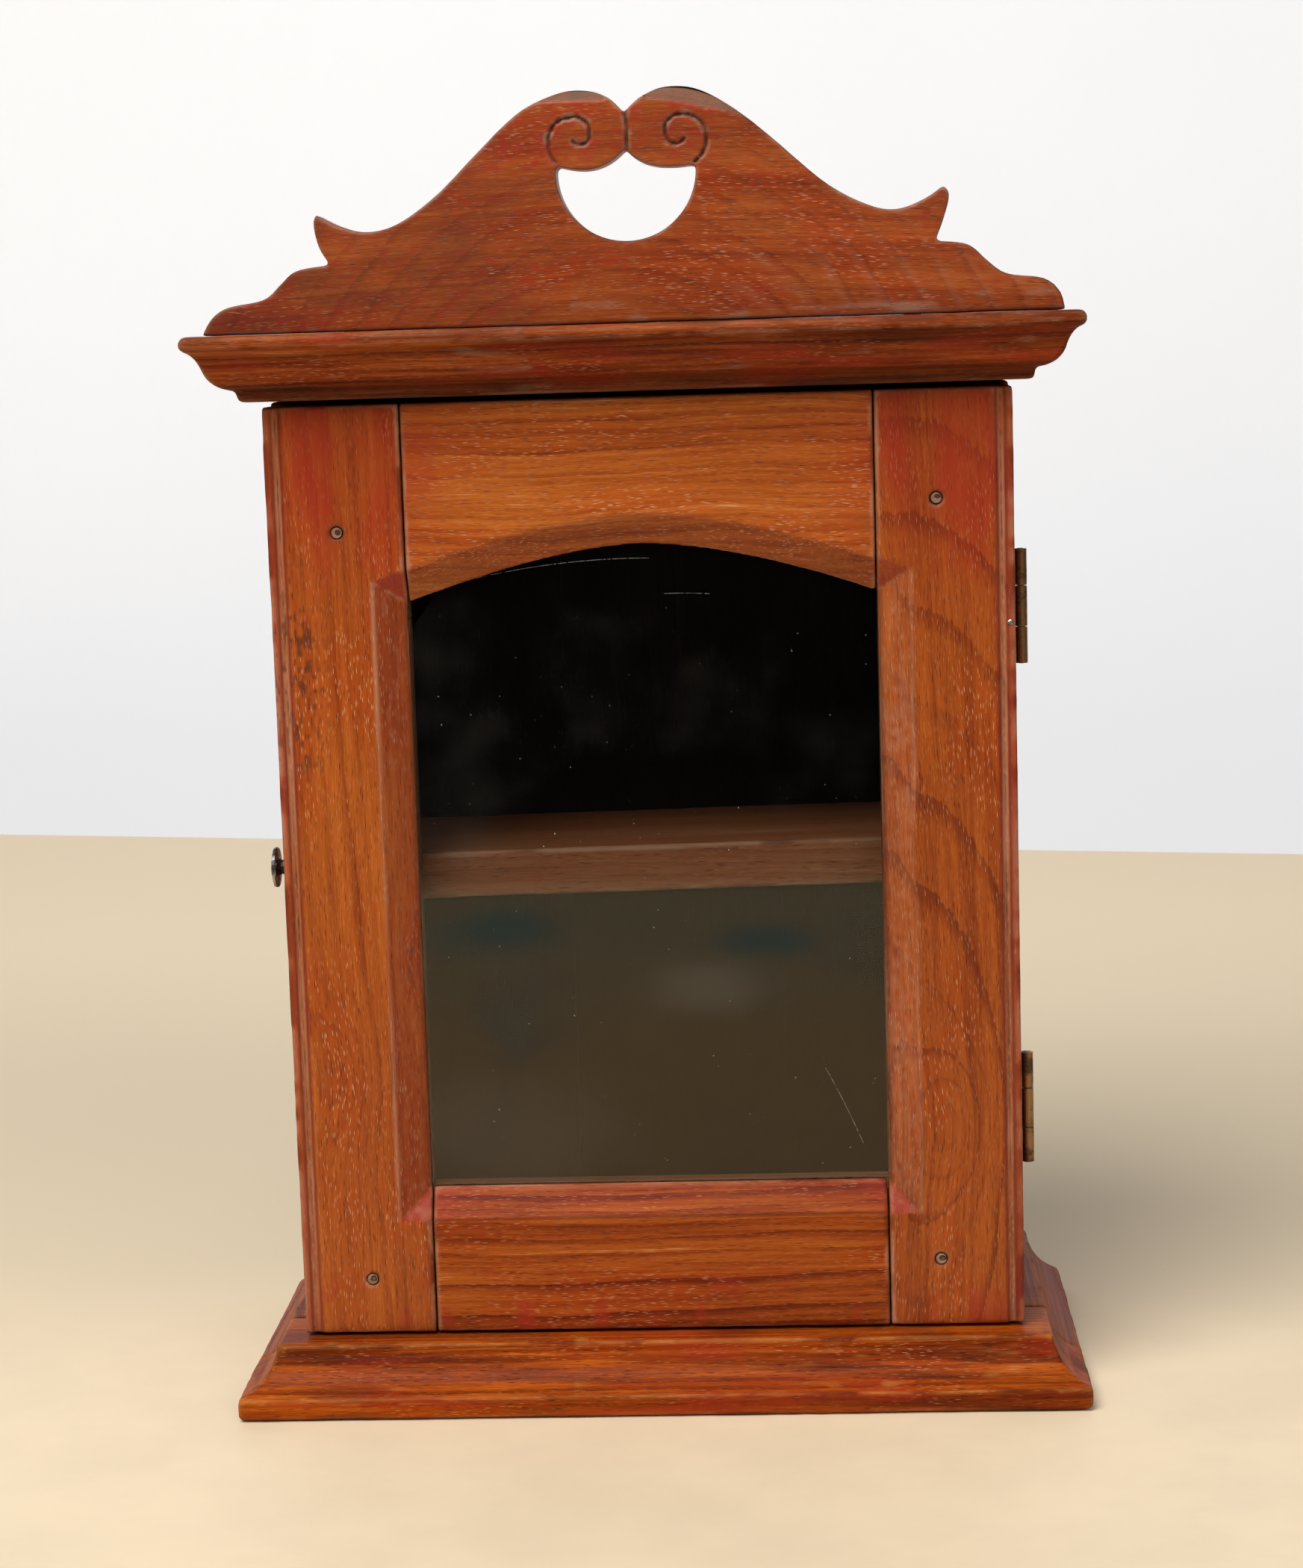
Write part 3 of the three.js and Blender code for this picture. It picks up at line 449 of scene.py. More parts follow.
def frame_marks(even):
    """Where the door frame is rubbed, dirty and stained red, and where highlights and shade are painted on
    it.
    """
    x, y, z = np.abs(even[:, 0]), even[:, 1], even[:, 2]
    zone = chamfer_zones(x, y, z)
    left = even[:, 0] < 0
    face = smooth_step(3, 1, y - DOOR_FACE)
    # Painted highlight: a pale line along the fold between the face and the chamfer, carried in the worn
    # mask.
    painted_fold_highlight = face * smooth_step(1.2, 0.3, np.abs(x - STILE_INNER - CHAMFER)) * between(z, MITRE_LOW, 295)
    bead = np.abs(x - BEAD_X)
    bead_sides = smooth_step(0.8, 0.2, np.abs(bead - 1.5)) * face
    coarse = lattice_noise(even, (9, 9, 34), 3)
    fine = lattice_noise(even, 2.5, 14)
    speck = smooth_step(0.15, 0.6, lattice_noise(even, (0.9, 2, 2.6), 17))

    # The bead's pale middle, the mitre ridges and the lower mitre triangles are wear together with painted
    # highlights; the right stile's chamfer sides are painted paler as a sheen, the left ones get only
    # speckled wear.
    worn = np.maximum.reduce([
        0.95 * smooth_step(1.3, 0.6, bead) * face,
        0.9 * painted_fold_highlight * smooth_step(-0.6, 0.3, coarse),
        0.8 * zone.ridge * smooth_step(-0.4, 0.3, fine),
        0.45 * zone.lower * smooth_step(-0.1, 0.5, fine),
        zone.side * np.where(left, 0.25 * speck, 0.35 + 0.3 * fine),
    ])

    edge = spot(even[:, 0], z, SCUFFED_EDGE, 0.28, 16, 4) * speck
    knot = spot(even[:, 0], z, DIRTY_KNOT, 0.5, 10, 2) * speck
    # Painted shade: the arch chamfer, which faces down, and the left stile's chamfer, which faces away from
    # the light, are darkened here.
    dirt_and_shade = np.maximum.reduce([
        0.45 * bead_sides,
        0.34 * zone.arch,
        0.7 * edge,
        0.6 * knot,
        0.15 * zone.upper,
        0.5 * zone.sill_line,
        0.26 * zone.side * left,
        0.55 * zone.side * smooth_step(3.0, 0.5, x - STILE_INNER),
    ])

    patchy = 0.45 + 0.55 * smooth_step(-0.3, 0.4, coarse)
    top = spot(x, z, RED_CORNER, 0.8, 74, 14) * patchy
    foot = smooth_step(52, 28, z) * smooth_step(0.0, 0.6, lattice_noise(even, (7, 7, 16), 13))
    # The extra red stain on the left stile's chamfer is part of its painted shade.
    stain = np.maximum.reduce([
        0.95 * zone.lower,
        0.9 * zone.upper,
        bead_sides,
        top * face,
        0.8 * foot * face,
        zone.sill * (0.10 + 0.45 * smooth_step(STILE_INNER - 14, STILE_INNER, x)),
        zone.side * np.where(left, 0.30, 0.08),
        0.8 * smooth_step(BEAD_X + 1.2, BEAD_X + 2.4, x),
    ])
    return worn, dirt_and_shade, np.clip(stain, 0, 1)


def moulding_marks(even):
    """Scuffs, dark streaks along the moulding, painted shade in the cornice's cove and at its fillet, and red
    patches on the cornice and plinth.
    """
    rubbed = smooth_step(-0.2, 0.5, lattice_noise(even, 22, 18))
    scuffs = smooth_step(0.35, 0.8, lattice_noise(even, (9, 9, 1.3), 16)) * rubbed
    streaks = smooth_step(0.15, 0.8, lattice_noise(even, (34, 34, 2.2), 19))
    # Painted shade: the cornice's cove, which faces down, and a thin line at its fillet are darkened through
    # the dirt mask.
    cove = between(even[:, 2], *CORNICE_COVE, 1.5)
    fillet = between(even[:, 2], *CORNICE_FILLET, 0.6)
    red = smooth_step(0.1, 0.7, lattice_noise(even, (30, 30, 4), 12))
    return 0.75 * scuffs, np.clip(0.42 * streaks + 0.6 * cove + 0.36 * fillet, 0, 1), 0.6 * red


# ---------------------------------------------------------------- materials


class Graph:
    """The nodes of one material or world, added by short calls."""

    def __init__(self, owner):
        self.owner = owner
        owner.use_nodes = True
        self.tree = owner.node_tree
        self.tree.nodes.clear()

    def feed(self, socket, value):
        if isinstance(value, bpy.types.NodeSocket):
            self.tree.links.new(value, socket)
        else:
            socket.default_value = value

    def add(self, kind, settings=None, **values):
        node = self.tree.nodes.new("ShaderNode" + kind)
        for name, value in (settings or {}).items():
            setattr(node, name, value)
        for name, value in values.items():
            self.feed(node.inputs[name.replace("_", " ")], value)
        return node

    def math(self, operation, *values):
        node = self.add("Math", {"operation": operation})
        for socket, value in zip(node.inputs, values):
            self.feed(socket, value)
        return node.outputs[0]

    def total(self, *parts):
        result = parts[0]
        for part in parts[1:]:
            result = self.math("ADD", result, part)
        return result

    def span(self, value, low, high):
        """The value's place between low and high, smoothed, from 0 to 1."""
        node = self.add("MapRange", {"interpolation_type": "SMOOTHSTEP"}, Value=value)
        node.inputs["From Min"].default_value = low
        node.inputs["From Max"].default_value = high
        return node.outputs[0]

    def vector(self, x, y, z):
        return self.add("CombineXYZ", X=x, Y=y, Z=z).outputs[0]

    def vector_math(self, operation, vector, value):
        """A vector after one step with a constant: a vector, or a number for SCALE."""
        node = self.add("VectorMath", {"operation": operation})
        self.feed(node.inputs[0], vector)
        self.feed(node.inputs["Scale" if operation == "SCALE" else 1], value)
        return node.outputs[0]

    def noise(self, vector, detail=2.0, roughness=0.55, scale=1.0):
        return self.add("TexNoise", Vector=vector, Scale=scale, Detail=detail, Roughness=roughness).outputs[0]

    def mix(self, share, a, b, blend="MIX"):
        node = self.add("Mix", {"data_type": "RGBA", "blend_type": blend})
        for socket, value in zip((node.inputs[0], node.inputs[6], node.inputs[7]), (share, a, b)):
            self.feed(socket, (*value, 1) if isinstance(value, tuple) and len(value) == 3 else value)
        return node.outputs[2]

    def mix_shaders(self, share, a, b):
        node = self.add("MixShader", Fac=share)
        for socket, shader in zip(node.inputs[1:], (a, b)):
            self.tree.links.new(shader.outputs[0], socket)
        return node

    def ramp(self, value, *stops):
        node = self.add("ValToRGB", Fac=value)
        elements = node.color_ramp.elements
        while len(elements) < len(stops):
            elements.new(0.5)
        for element, (place, colour) in zip(elements, stops):
            element.position = place
            element.color = (*colour, 1)
        return node.outputs[0]

    def tones(self, value, tones):
        places = {"dark": 0.08, "mid": 0.45, "light": 0.78, "pale": 1.0}
        return self.ramp(value, *((place, tones[name]) for name, place in places.items()))

    def finish(self, shader, output="OutputMaterial"):
        self.tree.links.new(shader.outputs[0], self.add(output).inputs[0])
        return self.owner


def new_material(name):
    return Graph(bpy.data.materials.new(name))


# Colours of the wood from dark to pale, and the colour of worn places and of painted highlights.

DOOR_TONES = {
    "dark": (0.170, 0.026, 0.003),
    "mid": (0.360, 0.074, 0.007),
    "light": (0.520, 0.140, 0.018),
    "pale": (0.720, 0.420, 0.220),
    "worn": (0.480, 0.220, 0.120),
}
RAIL_TONES = {
    "dark": (0.130, 0.016, 0.002),
    "mid": (0.285, 0.050, 0.004),
    "light": (0.420, 0.098, 0.010),
    "pale": (0.660, 0.360, 0.180),
    "worn": (0.450, 0.200, 0.110),
}
PLINTH_TONES = {
    "dark": (0.120, 0.018, 0.003),
    "mid": (0.310, 0.050, 0.003),
    "light": (0.500, 0.108, 0.006),
    "pale": (0.640, 0.320, 0.110),
    "worn": (0.500, 0.190, 0.040),
}
CASE_TONES = {
    "dark": (0.110, 0.018, 0.005),
    "mid": (0.270, 0.052, 0.008),
    "light": (0.420, 0.105, 0.018),
    "pale": (0.620, 0.330, 0.180),
    "worn": (0.340, 0.200, 0.130),
}
# Painted shade: the inner boards' tones are darkened far below the outer teak so that the inside of the case
# looks dim.
INNER_TONES_IN_PAINTED_SHADE = {
    "dark": (0.050, 0.018, 0.008),
    "mid": (0.110, 0.042, 0.018),
    "light": (0.170, 0.075, 0.035),
    "pale": (0.240, 0.125, 0.070),
    "worn": (0.240, 0.130, 0.075),
}
# Painted shade: the shelf is darkened to a fraction of its teak colour.
SHELF_TONES_IN_PAINTED_SHADE = {
    "dark": (0.085, 0.024, 0.007),
    "mid": (0.150, 0.052, 0.018),
    "light": (0.190, 0.076, 0.030),
    "pale": (0.300, 0.190, 0.120),
    "worn": (0.220, 0.130, 0.075),
}
PEG_TONES = {
    "dark": (0.016, 0.008, 0.005),
    "mid": (0.070, 0.028, 0.014),
    "light": (0.220, 0.120, 0.070),
    "pale": (0.340, 0.220, 0.150),
    "worn": (0.180, 0.100, 0.060),
}
# Painted shade: the back is darkened almost to black.
BACK_TONES_IN_PAINTED_SHADE = {
    "dark": (0.0045, 0.0026, 0.0024),
    "mid": (0.0060, 0.0034, 0.0032),
    "light": (0.0080, 0.0046, 0.0040),
    "pale": (0.0120, 0.0070, 0.0060),
    "worn": (0.0120, 0.0070, 0.0060),
}
# The colour of dirt and of painted shade.
DIRT_AND_SHADE = (0.022, 0.008, 0.005)
CRIMSON = (0.330, 0.024, 0.010)

# What a board's wood is like unless it says otherwise.
WOOD = {
    "heart": (0.0, 70.0),  # the tree's heart, in millimetres across and through the board
    "taper": 0.0,  # how fast the heart nears the board along it
    "spacing": 3.4,  # millimetres between growth lines
    "lines": 0.25,  # how dark the growth lines are
    "bend": 1.0,  # how much the fibres follow the growth lines
    "wander": 9.0,  # how far slow waves move the growth lines
    "knots": (),  # each one's place across and along, size and strength
    "flecks": 0.35,  # how strong the dust-filled pores are
    "red": 0.45,  # how strong the reddish patches are
    "streaks": 0.5,  # how strong the streaks along the grain are
    "light": 0.0,  # lighter above 0, darker below
    # The next one sets how bare the worn places are and how strong the painted highlights in the same mask
    # are.
    "worn": 0.75,  # how bare the worn places are
    "gloss": 0.40,  # the roughness
    "shine": 0.22,  # the specular level
    "outer": None,  # the depth where other tones begin, and those tones
    "seed": 0.0,
}


def wood_axes(g, grain):
    """The place in millimetres as (across the board, through it, along its grain)."""
    place = g.vector_math("SCALE", g.add("TexCoord").outputs["Object"], 1 / MM)
    x, y, z = g.add("SeparateXYZ", Vector=place).outputs
    return {"x": (z, y, x), "y": (x, z, y), "z": (x, y, z)}[grain]


def growth(g, axes, look):
    """Distance from the tree's heart, bent by slow waves and by knots: growth lines follow it."""
    across, deep, along = axes
    slow_place = g.vector(
        g.math("MULTIPLY_ADD", across, 0.022, look.seed),
        g.math("MULTIPLY", deep, 0.022),
        g.math("MULTIPLY", along, 0.0075),
    )
    moved = g.math("MULTIPLY_ADD", g.noise(slow_place), look.wander, across)
    side = g.math("SUBTRACT", moved, look.heart[0] + look.wander / 2)
    through = g.math("SUBTRACT", deep, g.math("MULTIPLY_ADD", along, look.taper, look.heart[1]))
    reach = g.math("SQRT", g.math("MULTIPLY_ADD", side, side, g.math("MULTIPLY", through, through)))
    for place, size, strength in look.knots:
        u = g.math("DIVIDE", g.math("SUBTRACT", across, place[0]), size)
        v = g.math("DIVIDE", g.math("SUBTRACT", along, place[1]), size * 2.0)
        square = g.math("MULTIPLY_ADD", u, u, g.math("MULTIPLY", v, v))
        fall = g.math("EXPONENT", g.math("MULTIPLY", square, -1.0))
        reach = g.math("MULTIPLY_ADD", fall, strength, reach)
    return reach


def dashes(g, axes, fibres, width, length, seed, share):
    """Short dashes along the grain; a share of the possible ones shows."""
    vector = g.vector(
        g.math("MULTIPLY_ADD", fibres, 1 / width, seed),
        g.math("MULTIPLY", axes[1], 1 / width),
        g.math("MULTIPLY", axes[2], 1 / length),
    )
    cells = g.add("TexVoronoi", Vector=vector, Scale=1.0, Randomness=1.0)
    pick = g.add("SeparateColor", Color=cells.outputs["Color"]).outputs[0]
    chosen = g.span(pick, 1 - share - 0.05, 1 - share + 0.05)
    return g.math("MULTIPLY", g.span(cells.outputs["Distance"], 0.32, 0.12), chosen)


def wood_noises(g, axes, fibres, look):
    """Noise drawn out along the fibres, from broad to fine, and a slow blotchy one."""
    across, deep, along = axes

    def follow(fine, long, detail):
        place = g.vector(
            g.math("MULTIPLY_ADD", fibres, fine, look.seed * 1.7),
            g.math("MULTIPLY", deep, fine * 0.5),
            g.math("MULTIPLY", along, long),
        )
        return g.noise(place, detail)

    blotch_place = g.vector(
        g.math("MULTIPLY_ADD", across, 0.05, look.seed),
        g.math("MULTIPLY", deep, 0.05),
        g.math("MULTIPLY", along, 0.02),
    )
    return SimpleNamespace(
        broad=follow(0.10, 0.006, 3.0),
        streak=follow(0.75, 0.014, 4.0),
        fibre=follow(4.2, 0.11, 3.0),
        blotch=g.noise(blotch_place, 3.0),
    )


def growth_lines(g, rings, streak, look):
    """Each year's line, darker towards its end and in some years, and the thin strip at its end."""
    phase = g.math("MULTIPLY_ADD", streak, 2.6 / look.spacing, g.math("DIVIDE", rings, look.spacing))
    part = g.math("FRACT", phase)
    year = g.math("FLOOR", phase)
    strong = g.add("TexWhiteNoise", {"noise_dimensions": "1D"}, W=year).outputs[0]
    start = min(0.75, max(0.35, 1 - 3.2 / look.spacing))
    line = g.math("MULTIPLY", g.span(part, start, 0.97), g.math("MULTIPLY_ADD", strong, 0.75, 0.25))
    strip = g.math("MULTIPLY", g.span(part, 0.82, 0.98), g.math("MULTIPLY", strong, min(1.0, look.lines * 3)))
    return line, strip


def wood_colour(g, deep, noises, line, tones, look):
    """The bare board's colour without its pores."""
    value = g.total(
        g.math("MULTIPLY_ADD", noises.broad, 1.5 * look.streaks, 0.5 - 0.75 * look.streaks + look.light),
        g.math("MULTIPLY_ADD", noises.streak, 1.3 * look.streaks, -0.65 * look.streaks),
        g.math("MULTIPLY_ADD", noises.fibre, 0.8, -0.40),
        g.math("MULTIPLY", line, -look.lines),
        0.3 * look.lines,
    )
    colour = g.tones(value, tones)
    if look.outer:
        depth, other = look.outer
        colour = g.mix(g.span(deep, depth - 1, depth + 1), colour, g.tones(value, other))
    reddish = g.math("MULTIPLY", g.span(noises.blotch, 0.42, 0.66), look.red)
    return g.mix(reddish, colour, (1.0, 0.66, 0.55), "MULTIPLY")


def teak(name, grain, tones, **given):
    """Aged oiled teak: growth lines, streaks, open pores, dust-filled flecks, wear and painted highlights,
    dirt and painted shade, and red stain.
    """
    g = new_material(name)
    look = SimpleNamespace(**{**WOOD, **given})
    axes = wood_axes(g, grain)
    rings = growth(g, axes, look)
    fibres = g.math("MULTIPLY_ADD", rings, look.bend, g.math("MULTIPLY", axes[0], 1 - look.bend))
    noises = wood_noises(g, axes, fibres, look)
    line, strip = growth_lines(g, rings, noises.streak, look)
    # The mask's first channel is wear together with painted highlights, the second dirt together with painted
    # shade, the third red stain.
    masks = g.add("Attribute", {"attribute_name": "age_marks_and_painted_light"}).outputs["Color"]
    rubbed, dirt_and_shade, stain = g.add("SeparateColor", Color=masks).outputs[:3]

    pores = dashes(g, axes, fibres, 0.50, 6.5, look.seed, 0.5)
    fleck = dashes(g, axes, fibres, 0.36, 4.6, look.seed + 5, 0.7)
    dusty = g.math("MAXIMUM", g.span(noises.blotch, 0.46, 0.62), g.math("MAXIMUM", strip, rubbed))
    fleck = g.math("MULTIPLY", fleck, g.math("MULTIPLY_ADD", dusty, look.flecks, look.flecks * 0.35))

    colour = wood_colour(g, axes[1], noises, line, tones, look)
    colour = g.mix(g.math("MULTIPLY", pores, 0.72), colour, tones["dark"], "MULTIPLY")
    colour = g.mix(fleck, colour, tones["pale"])

    mottle = g.total(noises.blotch, g.math("MULTIPLY_ADD", noises.fibre, 0.5, -0.25))
    patchy = g.span(mottle, 0.38, 0.60)
    bare = g.math("MULTIPLY", rubbed, g.math("MULTIPLY_ADD", patchy, 0.6, 0.4))
    bare = g.math("MULTIPLY", bare, look.worn)
    stained = g.math("MULTIPLY", stain, g.math("MULTIPLY_ADD", patchy, 0.35, 0.5))
    colour = g.mix(stained, colour, CRIMSON)
    # Worn places and painted highlights take the worn tone; dirt and painted shade darken the colour towards
    # the dirt colour.
    colour = g.mix(bare, colour, tones["worn"])
    colour = g.mix(g.math("MULTIPLY", dirt_and_shade, 0.9), colour, DIRT_AND_SHADE)

    rough = g.total(
        g.math("MULTIPLY_ADD", noises.fibre, 0.16, look.gloss - 0.08),
        g.math("MULTIPLY", bare, 0.25),
        g.math("MULTIPLY", dirt_and_shade, 0.25),
        g.math("MULTIPLY", fleck, 0.2),
    )
    height = g.total(
        g.math("MULTIPLY", pores, -0.8),
        g.math("MULTIPLY", noises.fibre, 0.5),
        g.math("MULTIPLY", line, -0.25),
        g.math("MULTIPLY", fleck, -0.3),
    )
    bump = g.add("Bump", Height=height, Strength=0.55, Distance=0.12 * MM).outputs[0]
    shader = g.add("BsdfPrincipled", Base_Color=colour, Roughness=rough, Normal=bump)
    shader.inputs["Specular IOR Level"].default_value = look.shine
    shader.inputs["Coat Weight"].default_value = 0.02 if look.shine > 0.1 else 0.0
    shader.inputs["Coat Roughness"].default_value = 0.30
    return g.finish(shader)


def metal(name, bright, dull, rough, size):
    """Old metal: bare where it is rubbed, dull and rough in patches."""
    g = new_material(name)
    place = g.vector_math("SCALE", g.add("TexCoord").outputs["Object"], 1 / (size * MM))
    patches = g.noise(place, 4.0)
    grit = g.add("TexNoise", Vector=place, Scale=9.0, Detail=3.0).outputs[0]
    share = g.span(g.total(patches, g.math("MULTIPLY_ADD", grit, 0.3, -0.15)), 0.40, 0.62)
    colour = g.mix(share, bright, dull)
    rough = g.math("MULTIPLY_ADD", share, 0.25, rough)
    bump = g.add("Bump", Height=g.math("ADD", grit, share), Strength=0.4, Distance=0.05 * MM).outputs[0]
    shader = g.add("BsdfPrincipled", Base_Color=colour, Roughness=rough, Normal=bump)
    shader.inputs["Metallic"].default_value = 1.0
    return g.finish(shader)


def cloud(g, place, wide, middle, width, height):
    """A soft patch on the pane round a middle, in millimetres across and up; wide noise frays it."""
    gap = g.vector_math("SUBTRACT", place, (middle[0] * MM, GLASS_FACE * MM, middle[1] * MM))
    flat = g.vector_math("MULTIPLY", gap, (1 / (width * MM), 0, 1 / (height * MM)))
    reach = g.add("VectorMath", {"operation": "LENGTH"})
    g.feed(reach.inputs[0], flat)
    return g.span(g.total(reach.outputs["Value"], g.math("MULTIPLY_ADD", wide, 1.6, -0.8)), 1.0, 0.2)


def old_glass():
    """A clear pane with reflections whose colour is painted, a thin film of dust and a few clouded patches.
    """
    g = new_material("old_glass")
    place = g.add("TexCoord").outputs["Object"]
    up = g.add("SeparateXYZ", Vector=place).outputs[2]
    wide = g.noise(place, 4.0, scale=14.0)
    slow = g.add("TexNoise", Vector=place, Scale=7.0, Detail=1.0).outputs[0]
    bump = g.add("Bump", Height=slow, Strength=0.10, Distance=0.4 * MM).outputs[0]

    def patch(*where):
        return cloud(g, place, wide, *where)

    # Painted reflection: the mirror's colour is browner low on the pane, varied by wide noise, and bluish in
    # two patches.
    painted_reflection_tint = g.mix(g.span(up, 0.175, 0.120), (0.52, 0.50, 0.42), (0.66, 0.51, 0.36))
    painted_reflection_tint = g.mix(g.span(wide, 0.5, 0.66), painted_reflection_tint, (0.44, 0.40, 0.33))
    painted_reflection_tint = g.mix(g.total(patch((-52, 170), 30, 12), patch((42, 164), 30, 9)), painted_reflection_tint, (0.28, 0.42, 0.50))
    clear = g.add("BsdfTransparent", Color=(0.97, 0.97, 0.96, 1))
    mirror = g.add("BsdfGlossy", Color=painted_reflection_tint, Roughness=0.05, Normal=bump)

    # Only the face that light enters by mirrors, for both: seen from inside, the other would mirror too much.
    fresnel = g.add("Fresnel", IOR=1.52, Normal=bump).outputs[0]
    both_faces = g.math("MINIMUM", g.math("MULTIPLY", fresnel, 1.85), 1.0)
    entering = g.math("SUBTRACT", 1.0, g.add("NewGeometry").outputs["Backfacing"])
    pane = g.mix_shaders(g.math("MULTIPLY", both_faces, entering), clear, mirror)

    film = g.total(
        g.math("MULTIPLY_ADD", g.span(wide, 0.50, 0.72), 0.009, 0.0006),
        g.math("MULTIPLY", patch((22, 148), 34, 13), 0.018),
        g.math("MULTIPLY", patch((-60, 96), 50, 30), 0.012),
    )
    dust = g.add("BsdfDiffuse", Color=(0.68, 0.64, 0.57, 1), Roughness=0.9)
    return g.finish(g.mix_shaders(film, pane, dust))


def plain(name, colour, vary, rough, size, glow=0.0, painted_light_bands=()):
    """A matt surface with a faint mottle; each band paints it lighter as painted light, or darker as painted
    shade, from one depth to another.
    """
    g = new_material(name)
    place = g.add("TexCoord").outputs["Object"]
    mottle = g.noise(place, 5.0, 0.6, 1 / (size * MM))
    lighter = tuple(min(1.0, c * (1 + vary)) for c in colour)
    darker = tuple(c * (1 - vary) for c in colour)
    shade = g.mix(g.span(mottle, 0.3, 0.7), darker, lighter)
    depth = g.add("SeparateXYZ", Vector=place).outputs[1]
    for low, high, factor in painted_light_bands:
        shade = g.mix(g.span(depth, low, high), shade, tuple(c * factor for c in colour))
    bump = g.add("Bump", Height=mottle, Strength=0.2, Distance=0.2 * MM).outputs[0]
    shader = g.add("BsdfPrincipled", Base_Color=shade, Roughness=rough, Normal=bump)
    shader.inputs["Emission Color"].default_value = (*colour, 1)
    shader.inputs["Emission Strength"].default_value = glow
    return g.finish(shader)


def paint(thing, material):
    """Gives every material slot of a piece the same material."""
    slots = thing.data.materials
    if not len(slots):
        slots.append(material)
    for i in range(len(slots)):
        slots[i] = material


# ---------------------------------------------------------------- the boards


def add_door():
    """The door's four boards: wide figure and knots on the stiles, fine level grain on the rails."""
    looks = {
        "door_left_stile": dict(
            heart=(-150.0, 20.0), taper=0.03, lines=0.18, bend=0.3, flecks=0.6, light=-0.08, seed=1.3,
            knots=(((-83.0, 158.0), 7.0, 8.0), ((-111.0, 120.0), 11.0, -9.0)),
        ),
        "door_right_stile": dict(
            heart=(91.0, -79.3), taper=0.34, spacing=11.0, lines=0.27, bend=0.12, wander=12.0, flecks=0.6,
            light=-0.20, seed=4.1, knots=(((105.0, 98.0), 11.0, -30.0),),
        ),
        "door_top_rail": dict(
            heart=(420.0, -60.0), taper=0.02, spacing=4.6, lines=0.24, wander=14.0, flecks=0.7, streaks=0.65,
            seed=7.7,
        ),
        "door_bottom_rail": dict(
            heart=(-60.0, -75.0), taper=0.03, spacing=5.4, lines=0.42, bend=0.4, wander=12.0, flecks=0.5,
            red=0.6, streaks=0.75, light=-0.11, shine=0.12, seed=9.2,
        ),
    }
    for i, (node, look) in enumerate(looks.items()):
        piece = aged(node, 0.72, 20 + i, wear=1.3, marks=frame_marks)
        grain = "z" if "stile" in node else "x"
        tones = RAIL_TONES if node == "door_bottom_rail" else DOOR_TONES
        paint(piece, teak(node + "_wood", grain, tones, **look))


def add_mouldings():
    """The mitred rails of the plinth and the cornice, and the panel inside the cornice."""
    kinds = {
        "plinth": (PLINTH_TONES, dict(heart=(-60.0, 190.0), light=-0.16)),
        "cornice": (CASE_TONES, dict(heart=(220.0, 150.0), light=-0.22)),
    }
    shared = dict(
        spacing=2.6, lines=0.3, bend=0.3, wander=10.0, flecks=0.5, red=0.4, streaks=0.9, worn=0.8, shine=0.06
    )
    for i, (side, grain) in enumerate((("front", "x"), ("left", "y"), ("right", "y"), ("back", "x"))):
        for place, (tones, own) in kinds.items():
            node = f"{place}_{side}_rail"
            seed = 40 + 7 * i + len(place)
            piece = aged(node, 0.75, seed, wear=1.9, waves=0.08, marks=moulding_marks)
            look = dict(seed=3.1 * i + len(place), **shared, **own)
            paint(piece, teak(node + "_wood", grain, tones, **look))
    panel = aged("cornice_panel", 1.1, 71, wear=0.6)
    paint(panel, teak("cornice_panel_wood", "x", CASE_TONES, heart=(300.0, -200.0), flecks=0.4, seed=12.5))


def add_pediment():
    """The carved board on top: level fibres crossed by wide growth lines."""
    piece = aged(
        "pediment", 0.62, 80, wear=1.3, waves=0.10, carve=carve_pediment, marks=pediment_marks
    )
    look = dict(
        heart=(PEDIMENT_HEART, -54.0), taper=PEDIMENT_TAPER, spacing=PEDIMENT_SPACING, lines=0.15, bend=0.06,
        wander=22.0, flecks=0.6, red=0.9, light=-0.07, worn=0.9, seed=15.4,
    )
    paint(piece, teak("pediment_wood", "x", CASE_TONES, **look))


def add_case():
    """The sides, the back, the shelf, and the plain parts inside."""
    for i, side in enumerate(("left", "right")):
        node = f"case_{side}_side"
        piece = aged(node, 0.95, 90 + i, wear=0.8)
        look = dict(heart=(160.0, 40.0), taper=0.06, spacing=3.2, lines=0.3, wander=12.0, red=0.5)
        paint(piece, teak(node + "_wood", "z", CASE_TONES, seed=18.0 + 2 * i, **look))

    for i, place in enumerate(("left", "middle", "right")):
        node = f"back_board_{place}"
        outer_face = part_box(node)[1][1] / MM
        look = dict(
            heart=(-200.0, 60.0), taper=0.05, spacing=5.0, wander=16.0, flecks=0.3, streaks=0.7, gloss=0.7,
            shine=0.05, outer=(outer_face - 1.5, INNER_TONES_IN_PAINTED_SHADE),
        )
        paint(frame["nodes"][node], teak(node + "_wood", "z", BACK_TONES_IN_PAINTED_SHADE, seed=24.0 + i, **look))

    shelf = aged("shelf", 0.95, 110, wear=0.9)
    paint(shelf, teak("shelf_wood", "x", SHELF_TONES_IN_PAINTED_SHADE, heart=(60.0, -150.0), gloss=0.55, seed=31.0))

    grains = {
        "case_top_board": "x",
        "case_bottom_board": "x",
        "shelf_cleat_left": "y",
        "shelf_cleat_right": "y",
        "glazing_bead_top": "x",
        "glazing_bead_bottom": "x",
        "glazing_bead_left": "z",
        "glazing_bead_right": "z",
    }
    for i, (node, grain) in enumerate(grains.items()):
        wood = teak(node + "_wood", grain, INNER_TONES_IN_PAINTED_SHADE, heart=(90.0, -120.0), gloss=0.6, seed=35.0 + i)
        paint(eased(node, 0.35), wood)


